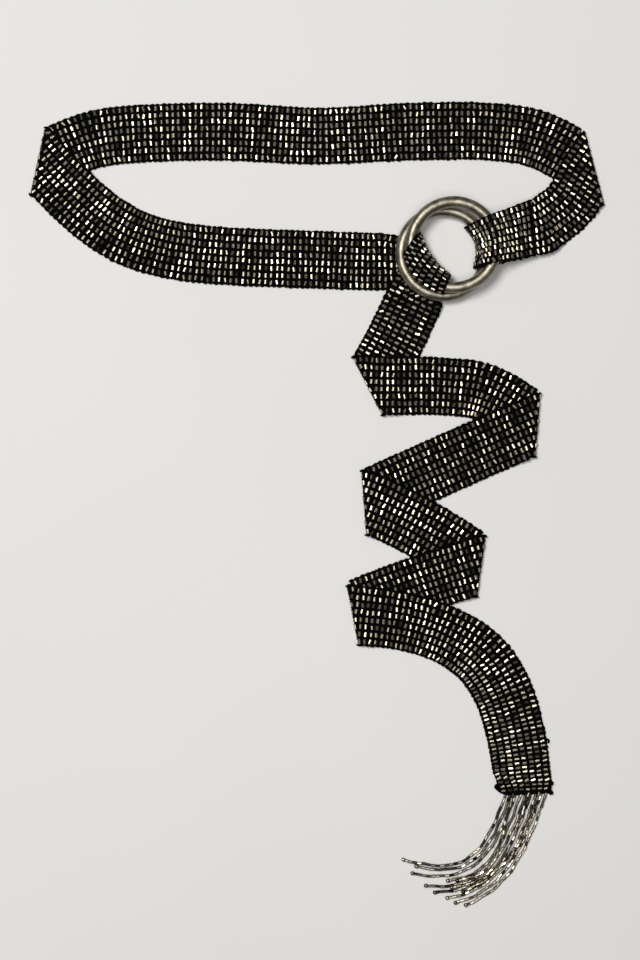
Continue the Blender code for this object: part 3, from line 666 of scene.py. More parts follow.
def ring_wrap():
    """The strap's turn: up inside the rings, over the upper one's wire and down under the lower one's."""
    columns, ends = [], []
    for edge, over, under, share in wrap_points():
        inward = over[:2] - edge
        reach = np.linalg.norm(inward)
        inward /= reach
        outward = under[:2] - over[:2]
        span = np.linalg.norm(outward)
        outward /= span
        slant = sum(wire_crossing(ring, edge, outward)[2] for ring in (UPPER_RING, LOWER_RING)) / 2
        wall = wrap_wall(share)
        drop = under[2] - over[2]
        between = math.hypot(span * slant, drop)
        round_radius = min(WIRE_RADIUS + WIRE_GAP + wall / 2, between / 2 - 0.01 * MM)
        top = over[2] + round_radius
        middle_z = WALL / 2 + WRAP_RISE_SHARE * (top - WALL / 2)
        fold_size = (WRAP_FOLD_REACH, middle_z - WALL / 2)
        bend = arc((WRAP_FOLD_REACH, middle_z), *fold_size, -90, -180, WRAP_POINTS["bend"])
        rise = arc((reach, middle_z), reach, top - middle_z, 180, 90, WRAP_POINTS["rise"])[1:]
        centre_line = math.degrees(math.atan2(drop, span * slant))
        tangent = centre_line - math.degrees(math.asin(2 * round_radius / between))
        over_size = (round_radius / slant, round_radius)
        fall = arc((0, over[2]), *over_size, 90, tangent + 90, WRAP_POINTS["fall"])[1:]
        under_wire = arc((span, under[2]), *over_size, tangent - 90, -90, WRAP_POINTS["fall"])
        plan = [edge + inward * s for s, _ in bend + rise]
        plan += [over[:2] + outward * s for s, _ in fall + under_wire]
        heights = [z for _, z in bend + rise + fall + under_wire]
        turn = np.linspace(0, 1, len(bend + rise))
        walls = [WALL + (wall - WALL) * smooth(t) for t in turn] + [wall] * len(fall + under_wire)
        columns.append((normed(inward + outward), plan, heights, walls))
        ends.append((under[:2], heights[-1] - wall / 2, wall))
    return round_stretch("ring_wrap", columns), ends


def wrap_seam():
    """Plan points at which the strap coming in ends and its turn round the ring begins."""
    points = []
    for edge, over, _, _ in wrap_points():
        points.append(edge + normed(over[:2] - edge) * (WRAP_FOLD_REACH + JOIN_SEAM_GAP))
    return points


def end_loop():
    """The sewn end: under both rings, up inside them, over the upper wire and down to the plain strap."""
    columns = []
    top_edge, low_edge = metres(LOOP_TOP_EDGE, LOOP_LOW_EDGE)
    radius = WIRE_RADIUS * LOOP_EASE + WIRE_GAP + LOOP_WALL / 2
    side_radius = radius + LOOP_SLACK
    for share in 0.5 - ACROSS:
        wire = ring_point(LOWER_RING, np.interp(share, (0, 1), LOOP_ANGLES))
        centre = np.array(LOWER_RING["centre"]) * MM
        start = centre + (wire[:2] - centre) * (1 - radius / RING_RADIUS)
        join = top_edge + (low_edge - top_edge) * share
        heading = join - start
        reach = np.linalg.norm(heading)
        heading /= reach
        low_s, low_z, low_slant = wire_crossing(LOWER_RING, start, heading)
        high_s, high_z, high_slant = wire_crossing(UPPER_RING, start, heading)
        slant = (low_slant + high_slant) / 2
        lean = math.degrees(math.atan2(high_z - low_z, (high_s - low_s) * slant)) + 90
        round_size = (side_radius / slant, radius)
        over = arc((high_s, high_z), *round_size, lean, LOOP_LEAVE_ANGLE, LOOP_POINTS["over"])
        leave, arrive = np.array(over[-1]), np.array([reach, LOOP_JOIN_Z])
        handle = LOOP_SLOPE_HANDLE * (reach - leave[0])
        leave_handle = leave + unit(LOOP_LEAVE_ANGLE - 90) * handle
        arrive_handle = arrive - unit(LOOP_JOIN_SLOPE) * handle
        slope = bezier(leave, leave_handle, arrive_handle, arrive, LOOP_POINTS["slope"])[1:]
        round_low = arc((low_s, low_z), *round_size, -90, lean - 360, LOOP_POINTS["round"])
        end_s = reach - LOOP_END_BACK
        over_end = np.interp(end_s, [s for s, _ in slope], [z for _, z in slope])
        end = np.array([end_s, over_end - (LOOP_WALL + WALL) / 2 - SLANT_SEAM_GAP])
        bottom = np.array(round_low[0])
        end_run, bottom_run = (share * (end_s - bottom[0]) for share in LOOP_BACK_HANDLES)
        end_handle = end - (end_run, end_run * math.tan(math.radians(LOOP_BACK_SLOPE)))
        back = bezier(end, end_handle, bottom + (bottom_run, 0), bottom, LOOP_POINTS["back"])[:-1]
        track = back + round_low + over + slope
        walls = [LOOP_WALL] * len(back + round_low + over)
        thicker = np.linspace(1 / len(slope), 1, len(slope))
        walls += [LOOP_WALL + (WALL - LOOP_WALL) * smooth(t) for t in thicker]
        columns.append((heading, [start + heading * s for s, _ in track], [z for _, z in track], walls))
    return round_stretch("end_loop", columns)


def loop_join():
    """Plan points of the seam between the sewn loop and the plain strap to its right."""
    top_edge, low_edge = metres(LOOP_TOP_EDGE, LOOP_LOW_EDGE)
    away = unit(CENTRELINES["right_run"][0][2]) * JOIN_SEAM_GAP
    return [top_edge + (low_edge - top_edge) * share + away for share in 0.5 - ACROSS]


def buckle(point):
    """Extra height of the tail near its small buckle."""
    x, y, height, reach = (value * MM for value in BUCKLE)
    return height * (1 - smooth(math.dist(point, (x, y)) / reach))


def hem_frame():
    """Middle of the strap's cut end, the direction it points in and the direction to its left."""
    row = CENTRELINES["tail_6"][-1]
    along = unit(row[2])
    return np.array(row[:2]) * MM, along, np.array([-along[1], along[0]])


def cut_end(side, turn=0.0):
    """Plan point of the cut end, some mm left of its middle and turned back by its rounded corner."""
    end, along, left = hem_frame()
    return end + (left * side - along * HEM_CORNER[1] * (1 - math.cos(turn))) * MM


def strap_end():
    """Plan points of the strap's cut end, left edge to right edge, with its rounded corner."""
    reach = HEM_CORNER[0]
    points = []
    for w in ACROSS:
        side = np.interp(w, (-0.5, 0.5), STRAP_END)
        turn = math.asin(max(0.0, min(1.0, (STRAP_END[0] + reach - side) / reach)))
        points.append(cut_end(side, turn))
    return points


def hem_path():
    """Plan points along the cut end from the rounded corner, each with its outward direction and taper."""
    _, along, left = hem_frame()
    reach, rise = HEM_CORNER
    round_count, straight_count = HEM_WRAPS
    path = []
    for turn in np.radians(np.linspace(HEM_CORNER_TURN, 0, round_count)):
        point = cut_end(STRAP_END[0] + reach * (1 - math.sin(turn)), turn)
        outward = along * reach * math.cos(turn) - left * rise * math.sin(turn)
        path.append((point, normed(outward), 1 - HEM_TAPER * math.degrees(turn) / HEM_CORNER_TURN))
    for side in np.linspace(STRAP_END[0] + reach, HEM_EAST, straight_count + 1)[1:]:
        path.append((cut_end(side), along, 1.0))
    return path


def all_stretches():
    """Every stretch of the strap, from the sewn end to the hem."""
    wrap, ends = ring_wrap()
    ends = ends[::-1]
    made = [
        end_loop(),
        flat_stretch(
            "right_run",
            end_fold="right",
            bends_at="end",
            lies_on=("top_run",),
            start_pins=loop_join(),
            start_low=[LOOP_JOIN_Z - WALL / 2] * len(ACROSS),
        ),
        flat_stretch("top_run", start_fold="right", end_fold="left"),
        flat_stretch(
            "lower_run", start_fold="left", bends_at="start", lies_on=("top_run",), end_pins=wrap_seam()
        ),
        wrap,
        flat_stretch(
            "tail_1",
            end_fold="tail_1",
            lies_on=("lower_run",),
            start_pins=[plan + unit(CENTRELINES["tail_1"][0][2]) * SLANT_SEAM_GAP for plan, _, _ in ends],
            start_low=[low for _, low, _ in ends],
            start_wall=[wall for _, _, wall in ends],
            start_reach=8.0 * MM,
        ),
    ]
    for number in range(2, 7):
        made.append(
            flat_stretch(
                f"tail_{number}",
                start_fold=f"tail_{number - 1}",
                end_fold=f"tail_{number}" if number < 6 else None,
                bends_at="start",
                lies_on=(f"tail_{number - 1}",),
                end_pins=strap_end() if number == 6 else None,
                pin_reach=STRAP_END_REACH,
                lift=buckle if number == 6 else None,
            )
        )
    return made


class Nodes:
    """Short helper for building one material's node tree."""

    def __init__(self, name):
        self.material = bpy.data.materials.new(name)
        self.material.use_nodes = True
        self.tree = self.material.node_tree
        self.shader = self.tree.nodes["Principled BSDF"]
        self.coordinates = self.tree.nodes.new("ShaderNodeTexCoord")

    def feed(self, socket, value):
        """Links another node's output to a socket, or sets the socket's own value."""
        if hasattr(value, "links"):
            self.tree.links.new(value, socket)
        else:
            socket.default_value = value

    def add(self, kind, inputs=None, **settings):
        node = self.tree.nodes.new(kind)
        for key, value in settings.items():
            setattr(node, key, value)
        for key, value in (inputs or {}).items():
            self.feed(node.inputs[key], value)
        return node

    def noise(self, scale, detail=4.0, roughness=0.6, vector=None):
        vector = vector or self.coordinates.outputs["Object"]
        inputs = {"Vector": vector, "Scale": scale, "Detail": detail, "Roughness": roughness}
        return self.add("ShaderNodeTexNoise", inputs).outputs["Fac"]

    def ramp(self, value, *stops):
        """Colours between stops, each a position and three numbers."""
        node = self.add("ShaderNodeValToRGB", {"Fac": value})
        while len(node.color_ramp.elements) < len(stops):
            node.color_ramp.elements.new(0.5)
        for element, (position, color) in zip(node.color_ramp.elements, stops):
            element.position = position
            element.color = (*color, 1)
        return node.outputs["Color"]

    def grey(self, value, low, high, start=0.3, end=0.7):
        inputs = {"Value": value, "From Min": start, "From Max": end, "To Min": low, "To Max": high}
        return self.add("ShaderNodeMapRange", inputs).outputs["Result"]

    def mix(self, share, a, b):
        """Mix of two values or colours. A colour of its own is three numbers."""
        node = self.add("ShaderNodeMix", data_type="RGBA")
        for socket, value in ((0, share), (6, a), (7, b)):
            self.feed(node.inputs[socket], (*value, 1) if isinstance(value, tuple) else value)
        return node.outputs[2]

    def bump(self, height, strength, distance):
        inputs = {"Height": height, "Strength": strength, "Distance": distance}
        return self.add("ShaderNodeBump", inputs).outputs["Normal"]

    def surface(self, **sockets):
        """The material, with these sockets of its shader set or linked."""
        for name, value in sockets.items():
            self.feed(self.shader.inputs[name.replace("_", " ")], value)
        return self.material


def thread_material(name, low, high, fibre_scale):
    """Black spun thread: faint fibres, a dull surface and a little sheen."""
    nodes = Nodes(name)
    fibres = nodes.noise(fibre_scale, 5.0, 0.7)
    patches = nodes.noise(140.0, 3.0)
    strands = nodes.ramp(fibres, (0.35, low), (0.7, high))
    return nodes.surface(
        Base_Color=nodes.mix(nodes.grey(patches, 0, 1), strands, low),
        Roughness=nodes.grey(fibres, 0.72, 0.92),
        Normal=nodes.bump(fibres, 0.5, 0.0003),
        Sheen_Weight=0.004,
        Sheen_Roughness=0.5,
        Specular_IOR_Level=0.03,
    )


def bead_material(name, dark, light, smoothness):
    """Metal-coated bead facets: each bead has its own tone, with tarnish and faint scratches."""
    nodes = Nodes(name)
    tone = nodes.add("ShaderNodeAttribute", attribute_name="tone").outputs["Fac"]
    tarnish = nodes.noise(1900.0, 3.0)
    base = nodes.ramp(tone, (0.0, dark), (1.0, light))
    return nodes.surface(
        Base_Color=nodes.mix(nodes.grey(tarnish, 0.0, 0.55, 0.45, 0.75), base, TARNISH),
        Metallic=0.96,
        Roughness=nodes.grey(tarnish, smoothness, smoothness + 0.2),
        Normal=nodes.bump(nodes.noise(2600.0, 2.0), 0.12, 0.0002),
    )


def ring_material():
    """Worn antique pewter: cloudy bright and dark patches, small dark pits and fine turning marks."""
    nodes = Nodes("antique pewter")
    wire = nodes.add("ShaderNodeMapping", {"Vector": nodes.coordinates.outputs["UV"], "Scale": (60, 7, 1)})
    marks = nodes.noise(1.0, 6.0, 0.7, wire.outputs[0])
    clouds = nodes.noise(150.0, 5.0, 0.65)
    specks = nodes.noise(1100.0, 3.0, 0.6)
    wear_and_painted_light = nodes.mix(nodes.grey(clouds, 0, 1, 0.4, 0.62), PEWTER["dark"], PEWTER["bright"])
    return nodes.surface(
        Base_Color=nodes.mix(nodes.grey(specks, 0.0, 0.5, 0.58, 0.72), wear_and_painted_light, PEWTER["pits"]),
        Metallic=1.0,
        Roughness=nodes.mix(0.5, nodes.grey(clouds, 0.36, 0.5), nodes.grey(marks, 0.32, 0.52)),
        Normal=nodes.bump(nodes.mix(0.5, marks, specks), 0.4, 0.0004),
    )


def floor_material():
    """Pale matt paper with faint clouds and grain."""
    nodes = Nodes("pale paper")
    clouds = nodes.grey(nodes.noise(3.0, 2.0), 0, 1)
    return nodes.surface(
        Base_Color=nodes.mix(clouds, PAPER["dark"], PAPER["bright"]),
        Roughness=0.9,
        Normal=nodes.bump(nodes.noise(900.0, 4.0), 0.05, 0.0002),
        Specular_IOR_Level=0.15,
    )


def tube_faces(rings, sides, first=0):
    """Faces of a closed tube whose corners are listed ring by ring."""
    faces = []
    for a in range(first, first + (rings - 1) * sides, sides):
        for k in range(sides):
            n = (k + 1) % sides
            faces.append((a + k, a + n, a + sides + n, a + sides + k))
    last = first + (rings - 1) * sides
    faces.append(tuple(range(first, first + sides))[::-1])
    faces.append(tuple(range(last, last + sides)))
    return faces


def turned(stations, sides):
    """A closed body along X: (x, radius) stations, each a ring of this many corners."""
    turns = 2 * np.pi * (np.arange(sides) + 0.5) / sides
    points = [(x, radius * math.cos(t), radius * math.sin(t)) for x, radius in stations for t in turns]
    return np.array(points), tube_faces(len(stations), sides)


CUT_BEAD = turned([(-0.5, 0.76), (-0.44, 1.0), (0.44, 1.0), (0.5, 0.76)], BEAD_SIDES)
ROUND_BEAD = turned([(-0.5, 0.35), (-0.4, 0.72), (-0.16, 1.0), (0.16, 1.0), (0.4, 0.72), (0.5, 0.35)], 10)
STITCH = turned([(-0.5, 0.3), (-0.28, 0.9), (0.05, 1.0), (0.32, 0.8), (0.5, 0.25)], 5)


def place_meshes(name, template, frames, look, tones=None, shade_smooth=False):
    """One mesh of many copies of a template. Frames are 3 by 4 matrices."""
    points, faces = template
    frames = np.array(frames)
    everywhere = np.einsum("nij,vj->nvi", frames[:, :, :3], points) + frames[:, None, :, 3]
    all_faces = [tuple(k + n * len(points) for k in face) for n in range(len(frames)) for face in faces]
    return new_object(name, everywhere.reshape(-1, 3), all_faces, look, tones, len(faces), shade_smooth)


def new_object(name, points, faces, look, tones=None, faces_each=1, shade_smooth=False):
    """An object of these points and faces. Tones are one value for each group of faces."""
    data = bpy.data.meshes.new(name)
    data.from_pydata([tuple(p) for p in points], [], faces)
    if tones is not None:
        attribute = data.attributes.new("tone", "FLOAT", "FACE")
        attribute.data.foreach_set("value", np.repeat(np.array(tones, dtype=np.float32), faces_each))
    if shade_smooth:
        data.shade_smooth()
    data.materials.append(look)
    return add_object(name, data)


def add_object(name, data):
    made = bpy.data.objects.new(name, data)
    bpy.context.scene.collection.objects.link(made)
    return made


def assign(piece, node=None):
    """Lets a piece ride on the root body, in place of a named node's solid."""
    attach(piece, "root")
    if node:
        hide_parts(node)


def rotation(axis, degrees):
    """Rotation about a local axis, 0, 1 or 2."""
    c, s = math.cos(math.radians(degrees)), math.sin(math.radians(degrees))
    made = np.eye(3)
    a, b = [(1, 2), (2, 0), (0, 1)][axis]
    made[a, a], made[a, b], made[b, a], made[b, b] = c, -s, s, c
    return made


def frame_of(centre, axes, local, size):
    """A 3 by 4 matrix: the template is sized, turned by a local rotation and set in a frame of axes."""
    return np.column_stack([np.column_stack(axes) @ local @ np.diag(size), centre])


def row_lengths(stretch):
    """Lengths of the bead rows. The tail's last stretch hangs slack, so its rows close up towards the hem."""
    last = float(stretch.lengths.max())
    rows = [math.floor(float(stretch.lengths.min()) / ROW_PITCH) * ROW_PITCH]
    if stretch.name in SEAM_ROWS:
        rows = [stretch.ends(MIDDLE_LINE)[0] + SEAM_ROWS[stretch.name]["first"] - 2 * ROW_PITCH]
        last += SEAM_ROWS[stretch.name]["spare"]
    slack = stretch.name == LAST_STRETCH
    while rows[-1] < last:
        share = smooth((rows[-1] / last - TAIL_PITCH["from"]) / (1 - TAIL_PITCH["from"])) if slack else 0.0
        rows.append(rows[-1] + ROW_PITCH + (TAIL_PITCH["end"] - ROW_PITCH) * share)
    return np.array(rows)


def rows_between(stretch):
    rows = row_lengths(stretch)
    return (rows[1:] + rows[:-1]) / 2


def line_rows(stretch, rows, line, margin):
    """Lengths of the rows on one line, without those nearer to its ends than the margin.

    From a slanted seam the rows lie evenly along the line's own true length.
    """
    first, last = stretch.ends(line)
    if stretch.name in SEAM_ROWS:
        spare = SEAM_ROWS[stretch.name]["spare"]
        travel = path_lengths(stretch.middle[:, line])
        travel = np.array([-spare, *travel, travel[-1] + spare])
        lengths = np.array([first - spare, *stretch.lengths[:, line], last + spare])
        rows = np.interp(rows - stretch.ends(MIDDLE_LINE)[0], travel, lengths)
    return rows[(rows >= first + margin) & (rows <= last - margin)]


def strap_beads(stretch, look):
    """The beads of every column, each a little out of line and with its own tone."""
    frames, tones = [], []
    rows = row_lengths(stretch)
    for line in BEAD_LINES:
        at_edge = line in (BEAD_LINES[0], BEAD_LINES[-1])
        skew = EDGE_BEAD_SKEW if at_edge else BEAD_SKEW
        # The edge columns are darker, and some stretches' beads are painted brighter or darker: painted light
        # for the lamp's uneven fall.
        wear_and_painted_light = (EDGE_BEAD_TONE if at_edge else 1.0) * BEAD_PAINTED_LIGHT.get(stretch.name, 1.0)
        lengths = line_rows(stretch, rows, line, BEAD_END_MARGIN)
        for centre, axes, wall in stretch.places(line, lengths):
            centre = centre + axes[0] * rng.normal(0, BEAD_STRAY) + axes[1] * rng.normal(0, BEAD_STRAY)
            local = rotation(2, rng.normal(0, skew)) @ rotation(1, rng.normal(0, BEAD_TILT))
            local = local @ rotation(0, rng.uniform(0, BEAD_ROLL))
            radius = min(BEAD_RADIUS, BEAD_WALL_SHARE * wall) * rng.uniform(*BEAD_RADII)
            size = (BEAD_LENGTH * rng.uniform(*BEAD_LENGTHS), radius, radius)
            frames.append(frame_of(centre, axes, local, size))
            tones.append(min(1.0, rng.beta(*BEAD_TONES) * wear_and_painted_light))
    return place_meshes(f"beads_{stretch.name}", CUT_BEAD, frames, look, tones)


def strap_cords(stretch, look):
    """Chain stitches along the columns: two leaning loops for each row, and rounder ones at the edges.

    The edge ones stand outwards from the middle line, and past its ends all to one side.
    """
    frames = []
    rows = rows_between(stretch)
    middle_first, middle_last = stretch.ends(MIDDLE_LINE)
    for line in CORD_LINES:
        first, last = stretch.ends(line)
        lengths = np.clip(line_rows(stretch, rows, line, -CORD_OVERRUN), first + MM, last - MM)
        middles = read_path(stretch.middle[:, MIDDLE_LINE], stretch.lengths[:, MIDDLE_LINE], lengths).T
        for length, middle, (centre, axes, wall) in zip(lengths, middles, stretch.places(line, lengths)):
            across, along, normal = axes
            swell = rng.uniform(*STITCH_SWELL)
            thick = min(STITCH_HEIGHT, STITCH_WALL_SHARE * wall) * swell
            if line not in (CORD_LINES[0], CORD_LINES[-1]):
                for side in (-1, 1):
                    spot = centre + across * side * STITCH_SIDE - normal * STITCH_DEPTH
                    local = rotation(2, -side * (STITCH_LEAN + rng.normal(0, STITCH_LEAN_SPREAD)) + 90.0)
                    size = (STITCH_LENGTH * swell, STITCH_WIDTH / 2 * swell, thick / 2)
                    frames.append(frame_of(spot, axes, local, size))
                continue
            by_middle = middle_first - SLOPE_REACH < length < middle_last + SLOPE_REACH
            outward = across if by_middle and (centre - middle) @ across > 0 else -across
            spot = centre + outward * (SCALLOP_REACH + rng.normal(0, SCALLOP_STRAY))
            local = rotation(2, 90 + rng.normal(0, SCALLOP_SKEW))
            size = (SCALLOP_LENGTH * swell, SCALLOP_WIDTH / 2 * swell, thick / 2)
            frames.append(frame_of(spot, axes, local, size))
            if length + ROW_PITCH / 2 > last - MM:
                continue
            ahead = ROW_PITCH / 2 + rng.normal(0, LINK_STRAY)
            local = rotation(2, 90 + rng.normal(0, LINK_SKEW))
            size = np.array(LINK_SIZE) * (SCALLOP_LENGTH, SCALLOP_WIDTH, thick)
            frames.append(frame_of(centre + along * ahead - normal * LINK_DEPTH, axes, local, size))
    frames += loose_stitches(LOOSE_CORDS.get(stretch.name, ()))
    return place_meshes(f"cords_{stretch.name}", STITCH, frames, look, shade_smooth=True)


def loose_stitches(points):
    """Stitches end to end along a short loose bit of cord."""
    frames = []
    for first, second in zip(points, points[1:]):
        first, second = metres(first, second)
        along = normed(second - first)
        side = normed(np.cross(along, UP))
        length = LOOSE_STITCH_LENGTH * np.linalg.norm(second - first)
        size = (length, LOOSE_CORD_WIDTH / 2, LOOSE_CORD_WIDTH / 2)
        frames.append(frame_of((first + second) / 2, (along, side, np.cross(along, side)), np.eye(3), size))
    return frames


def strap_ties(stretch, look):
    """The thread between one bead and the next of a column: a low loop across the column."""
    frames = []
    rows = rows_between(stretch)
    for line in BEAD_LINES:
        for centre, axes, wall in stretch.places(line, line_rows(stretch, rows, line, MM)):
            local = rotation(2, rng.normal(0, TIE_SKEW))
            size = (COLUMN_PITCH, TIE_WIDTH * rng.uniform(*TIE_WIDTHS), TIE_HEIGHT * wall)
            spot = centre + axes[1] * rng.normal(0, TIE_STRAY) + axes[2] * TIE_LIFT * wall
            frames.append(frame_of(spot, axes, local, size))
    return place_meshes(f"ties_{stretch.name}", STITCH, frames, look, shade_smooth=True)


def strap_ground(stretch, look):
    """The knit between beads and cords: a thin closed wall in the middle of the strap."""
    low = stretch.inner + (stretch.outer - stretch.inner) * GROUND_LOW
    high = stretch.inner + (stretch.outer - stretch.inner) * GROUND_HIGH
    sections, lines = low.shape[:2]
    points = np.concatenate([low.reshape(-1, 3), high.reshape(-1, 3)])
    layer = sections * lines
    faces = []
    for s in range(sections - 1):
        for k in range(lines - 1):
            a, b, c, d = s * lines + k, s * lines + k + 1, (s + 1) * lines + k + 1, (s + 1) * lines + k
            faces.append((a, b, c, d))
            faces.append((layer + d, layer + c, layer + b, layer + a))
    rim = list(range(lines))
    rim += [s * lines + lines - 1 for s in range(1, sections)]
    rim += [(sections - 1) * lines + k for k in range(lines - 2, -1, -1)]
    rim += [s * lines for s in range(sections - 2, 0, -1)]
    for a, b in zip(rim, rim[1:] + rim[:1]):
        faces.append((b, a, layer + a, layer + b))
    return new_object(f"ground_{stretch.name}", points, faces, look, shade_smooth=True)


def dress_stretch(stretch, knit, cord, bead):
    """Ground, beads, cords and ties of one stretch. The ground takes the solid's place."""
    ground = strap_ground(stretch, knit)
    beads = strap_beads(stretch, bead)
    cords = strap_cords(stretch, cord)
    ties = strap_ties(stretch, cord)
    assign(ground, stretch.name)
    for piece in (beads, cords, ties):
        assign(piece)
    flat = (round(STRAP_WIDTH, 4), round(stretch.cut_length(), 3))


RING_TURNS, RING_SIDES = 144, 28


def ring(name, shape, node, look):
    """A wire ring with UVs that run along the wire and round it."""
    centre, along, over = ring_axes(shape)
    up = np.cross(along, over)
    points, faces, corners = [], [], []
    for i in range(RING_TURNS):
        turn = 2 * math.pi * i / RING_TURNS
        out = along * math.cos(turn) + over * math.sin(turn)
        for j in range(RING_SIDES):
            roll = 2 * math.pi * j / RING_SIDES
            round_wire = out * math.cos(roll) + up * math.sin(roll)
            points.append(centre + out * RING_RADIUS + round_wire * WIRE_RADIUS)
            square = ((i, j), (i + 1, j), (i + 1, j + 1), (i, j + 1))
            faces.append([a % RING_TURNS * RING_SIDES + b % RING_SIDES for a, b in square])
            corners += [value for a, b in square for value in (a / RING_TURNS, b / RING_SIDES)]
    made = new_object(name, points, faces, look, shade_smooth=True)
    made.data.uv_layers.new(name="wire").data.foreach_set("uv", corners)
    assign(made, node)


def hem_axes():
    """Directions left, along and up at the cut end."""
    _, along, left = hem_frame()
    return np.array([*left, 0]), np.array([*along, 0]), UP


def hem(cord):
    """The bound hem: a dense row of thread wraps, with two small knots at one corner."""
    frames = []
    end, along, left = hem_frame()
    for point, outward, taper in hem_path():
        if (point - end) @ left > HEM_WRAPPED_END * MM or taper < HEM_LEAST_TAPER:
            continue
        out = np.array([*outward, 0])
        swell = rng.uniform(*STITCH_SWELL) * taper
        for shift, lift, turn, share in HEM_THREADS:
            plan = point + outward * (SEAM_GAP + HEM_LENGTH / 2 * taper + shift * MM * taper)
            centre = np.array([*plan, HEM_HEIGHT / 2 * taper + lift * MM])
            local = rotation(2, rng.normal(0, HEM_SKEW) + turn)
            size = ((HEM_LENGTH + HEM_OVERHANG) * share * swell, HEM_THREAD, HEM_HEIGHT / 2 * swell)
            frames.append(frame_of(centre, (out, np.cross(UP, out), UP), local, size))
    for side, reach in HEM_KNOTS:
        knot = end + (left * side + along * reach) * MM
        for degrees in KNOT_TURNS:
            plan = knot + along * rng.uniform(-KNOT_STRAY, KNOT_STRAY)
            centre = np.array([*plan, HEM_HEIGHT * rng.uniform(*KNOT_HEIGHTS)])
            local = rotation(2, degrees) @ rotation(1, rng.uniform(-KNOT_TILT, KNOT_TILT))
            frames.append(frame_of(centre, hem_axes(), local, KNOT_STITCH))
    made = place_meshes("hem_binding", STITCH, frames, cord, shade_smooth=True)
    assign(made, "hem_bar")


def hem_beads(bead):
    """The last bead rows, which lie over the binding and half in its thread."""
    end, along, left = hem_frame()
    side_stray, reach_stray = HEM_BEADS["stray"]
    radius = BEAD_RADIUS * HEM_BEADS["radius"]
    frames, tones = [], []
    for reach, width, height, brightest in HEM_ROWS:
        for line in BEAD_LINES:
            side = np.interp(ACROSS[line], (-0.5, 0.5), STRAP_END) * width + rng.normal(0, side_stray)
            plan = end + (left * side + along * (reach + rng.normal(0, reach_stray))) * MM
            centre = np.array([*plan, HEM_HEIGHT * height - HEM_BEADS["sink"] * BEAD_RADIUS])
            local = rotation(2, rng.normal(0, BEAD_SKEW)) @ rotation(0, rng.uniform(0, HEM_BEADS["roll"]))
            size = (BEAD_LENGTH * rng.uniform(*HEM_BEADS["lengths"]), radius, radius)
            frames.append(frame_of(centre, hem_axes(), local, size))
            tones.append(rng.uniform(0.0, brightest))
    assign(place_meshes("hem_beads", CUT_BEAD, frames, bead, tones))


def strand_curve(row):
    """Plan points of one strand: a smooth curve from the hem to the tip, with a faint wave."""
    end, along, left = hem_frame()
    place, tip_x, tip_y, heading, first, second = row
    root = end + along * (HEM_LENGTH + SEAM_GAP - STRAND_TUCK) + left * place * MM
    tip = np.array([tip_x, tip_y]) * MM
    root_handle = root + unit(STRAND_ROOT_HEADING) * first * MM
    tip_handle = tip - unit(heading) * second * MM
    curve = np.array(bezier(root, root_handle, tip_handle, tip, STRAND_POINTS))
    ahead = np.gradient(curve, axis=0)
    side = np.column_stack([-ahead[:, 1], ahead[:, 0]]) / np.linalg.norm(ahead, axis=1)[:, None]
    travel = path_lengths(curve) / STRAND_WAVE["length"]
    wave = np.sin(2 * math.pi * travel + rng.uniform(0, 2 * math.pi))
    return curve + side * (wave * STRAND_WAVE["size"] * smooth(travel))[:, None]


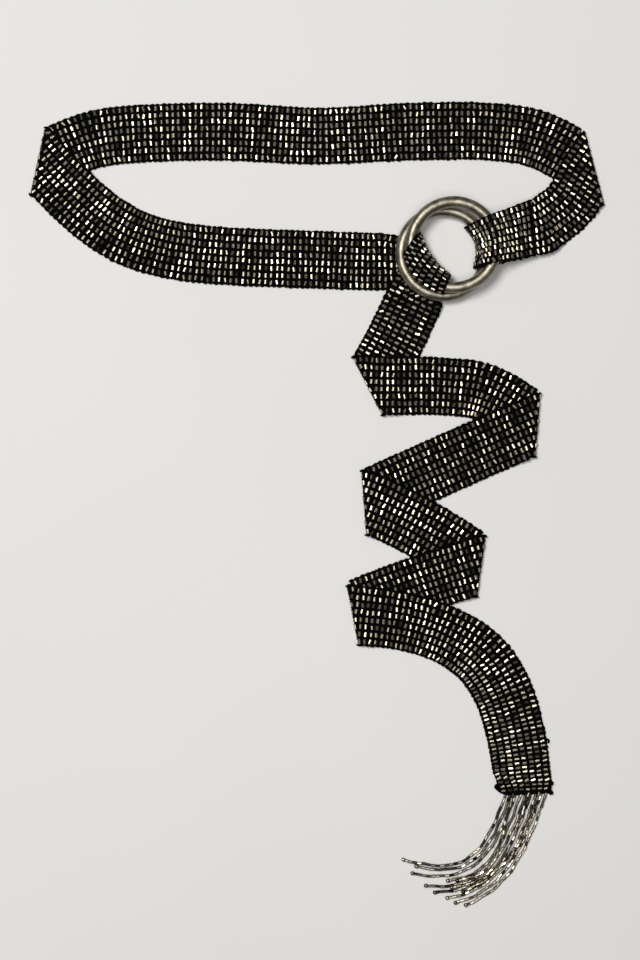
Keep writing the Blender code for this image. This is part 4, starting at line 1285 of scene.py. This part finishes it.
def fringe(bead, cord):
    """Strands of cut tube beads, each strung on a thread and closed by a rounder bead at its tip."""
    frames, tones, ends, end_tones, threads, faces = [], [], [], [], [], []
    for row in STRANDS + CROSSING_STRANDS:
        curve = strand_curve(row)
        height = STRAND_Z + (CROSSING_LIFT if row in CROSSING_STRANDS else 0.0)
        lengths = path_lengths(curve)
        total = lengths[-1] - END_BEAD_RADIUS
        count = int(total // (STRAND_BEAD_LENGTH + STRAND_BEAD_GAP))
        base = STRAND_TONE["strand"] * rng.beta(*STRAND_TONE["strand_spread"])
        for n in range(count):
            at = (n + 0.5) * total / count
            ahead = read_path(curve, lengths, at + MM) - read_path(curve, lengths, at - MM)
            along = np.array([*normed(ahead), 0])
            side = np.cross(UP, along)
            point = np.array([*read_path(curve, lengths, at), height]) + side * rng.normal(0, STRAND_STRAY)
            local = rotation(2, rng.normal(0, STRAND_SKEW)) @ rotation(0, rng.uniform(0, BEAD_ROLL))
            radius = STRAND_BEAD_RADIUS * rng.uniform(*STRAND_RADII)
            size = (total / count - STRAND_BEAD_GAP, radius, radius)
            frames.append(frame_of(point, (along, side, UP), local, size))
            tone = base + STRAND_TONE["bead"] * rng.beta(*STRAND_TONE["bead_spread"])
            tones.append(np.clip(tone, 0, 1))
        along = np.array([*normed(curve[-1] - curve[-3]), 0])
        tip = np.array([*curve[-1], END_BEAD_RADIUS + height - STRAND_Z]) - along * END_BEAD_RADIUS
        size = (END_BEAD_LENGTH, END_BEAD_RADIUS, END_BEAD_RADIUS)
        ends.append(frame_of(tip, (along, np.cross(UP, along), UP), np.eye(3), size))
        end_tones.append(rng.uniform(*END_BEAD_TONES))
        faces += tube_faces(len(curve), 4, first=len(threads))
        for k, point in enumerate(curve):
            ahead = normed(curve[min(k + 1, len(curve) - 1)] - curve[max(k - 1, 0)])
            side = np.array([-ahead[1], ahead[0]]) * THREAD_RADIUS
            corners = ((side, 0), (0 * side, THREAD_RADIUS), (-side, 0), (0 * side, -THREAD_RADIUS))
            threads += [(*(point + plan), height + lift) for plan, lift in corners]
    strands = place_meshes("fringe_beads", CUT_BEAD, frames, bead, tones)
    tips = place_meshes("fringe_tips", ROUND_BEAD, ends, bead, end_tones, shade_smooth=True)
    strings = new_object("fringe_threads", threads, faces, cord, shade_smooth=True)
    assign(strands, "fringe")
    assign(tips)
    assign(strings)


def floor():
    half = FLOOR_SIZE / 2
    corners = [(-half, -half, 0), (half, -half, 0), (half, half, 0), (-half, half, 0)]
    made = new_object("floor", corners, [(0, 1, 2, 3)], floor_material())


def light(name, place, size, power, color):
    """A round lamp that looks at the middle of the floor."""
    lamp = bpy.data.lights.new(name, "AREA")
    lamp.shape = "DISK"
    lamp.size = size
    lamp.energy = power
    lamp.color = color
    made = add_object(name, lamp)
    made.location = place
    made.rotation_euler = (-Vector(place)).to_track_quat("-Z", "Y").to_euler()


def studio():
    """Pale sky and the lamps."""
    world = bpy.data.worlds.new("studio")
    world.use_nodes = True
    world.node_tree.nodes["Background"].inputs["Color"].default_value = SKY_COLOR
    world.node_tree.nodes["Background"].inputs["Strength"].default_value = SKY_STRENGTH
    bpy.context.scene.world = world
    bpy.context.scene.view_settings.view_transform = "Standard"
    for name, settings in LAMPS.items():
        light(name, *settings)


def camera():
    """A camera straight overhead, which looks down by itself."""
    data = bpy.data.cameras.new("camera")
    data.sensor_width = SENSOR
    data.lens = SENSOR * CAMERA_DISTANCE / VIEW_HEIGHT
    made = add_object("camera", data)
    made.location = (*VIEW_CENTRE, CAMERA_DISTANCE)
    bpy.context.scene.camera = made


camera()
studio()
floor()
knit = thread_material("black knit", (0.0007, 0.0007, 0.0008), (0.002, 0.0019, 0.0019), 1400.0)
cord = thread_material("black cord", (0.0009, 0.0009, 0.001), (0.0042, 0.004, 0.0038), 2200.0)
strap_bead = bead_material("strap beads", (0.07, 0.06, 0.04), (0.84, 0.77, 0.61), 0.22)
fringe_bead = bead_material("fringe beads", (0.016, 0.014, 0.01), (0.7, 0.63, 0.49), 0.15)
pewter = ring_material()
for one in all_stretches():
    dress_stretch(one, knit, cord, strap_bead)
ring("wire_ring_upper", UPPER_RING, "ring_upper", pewter)
ring("wire_ring_lower", LOWER_RING, "ring_lower", pewter)
hem(cord)
hem_beads(strap_bead)
fringe(fringe_bead, cord)
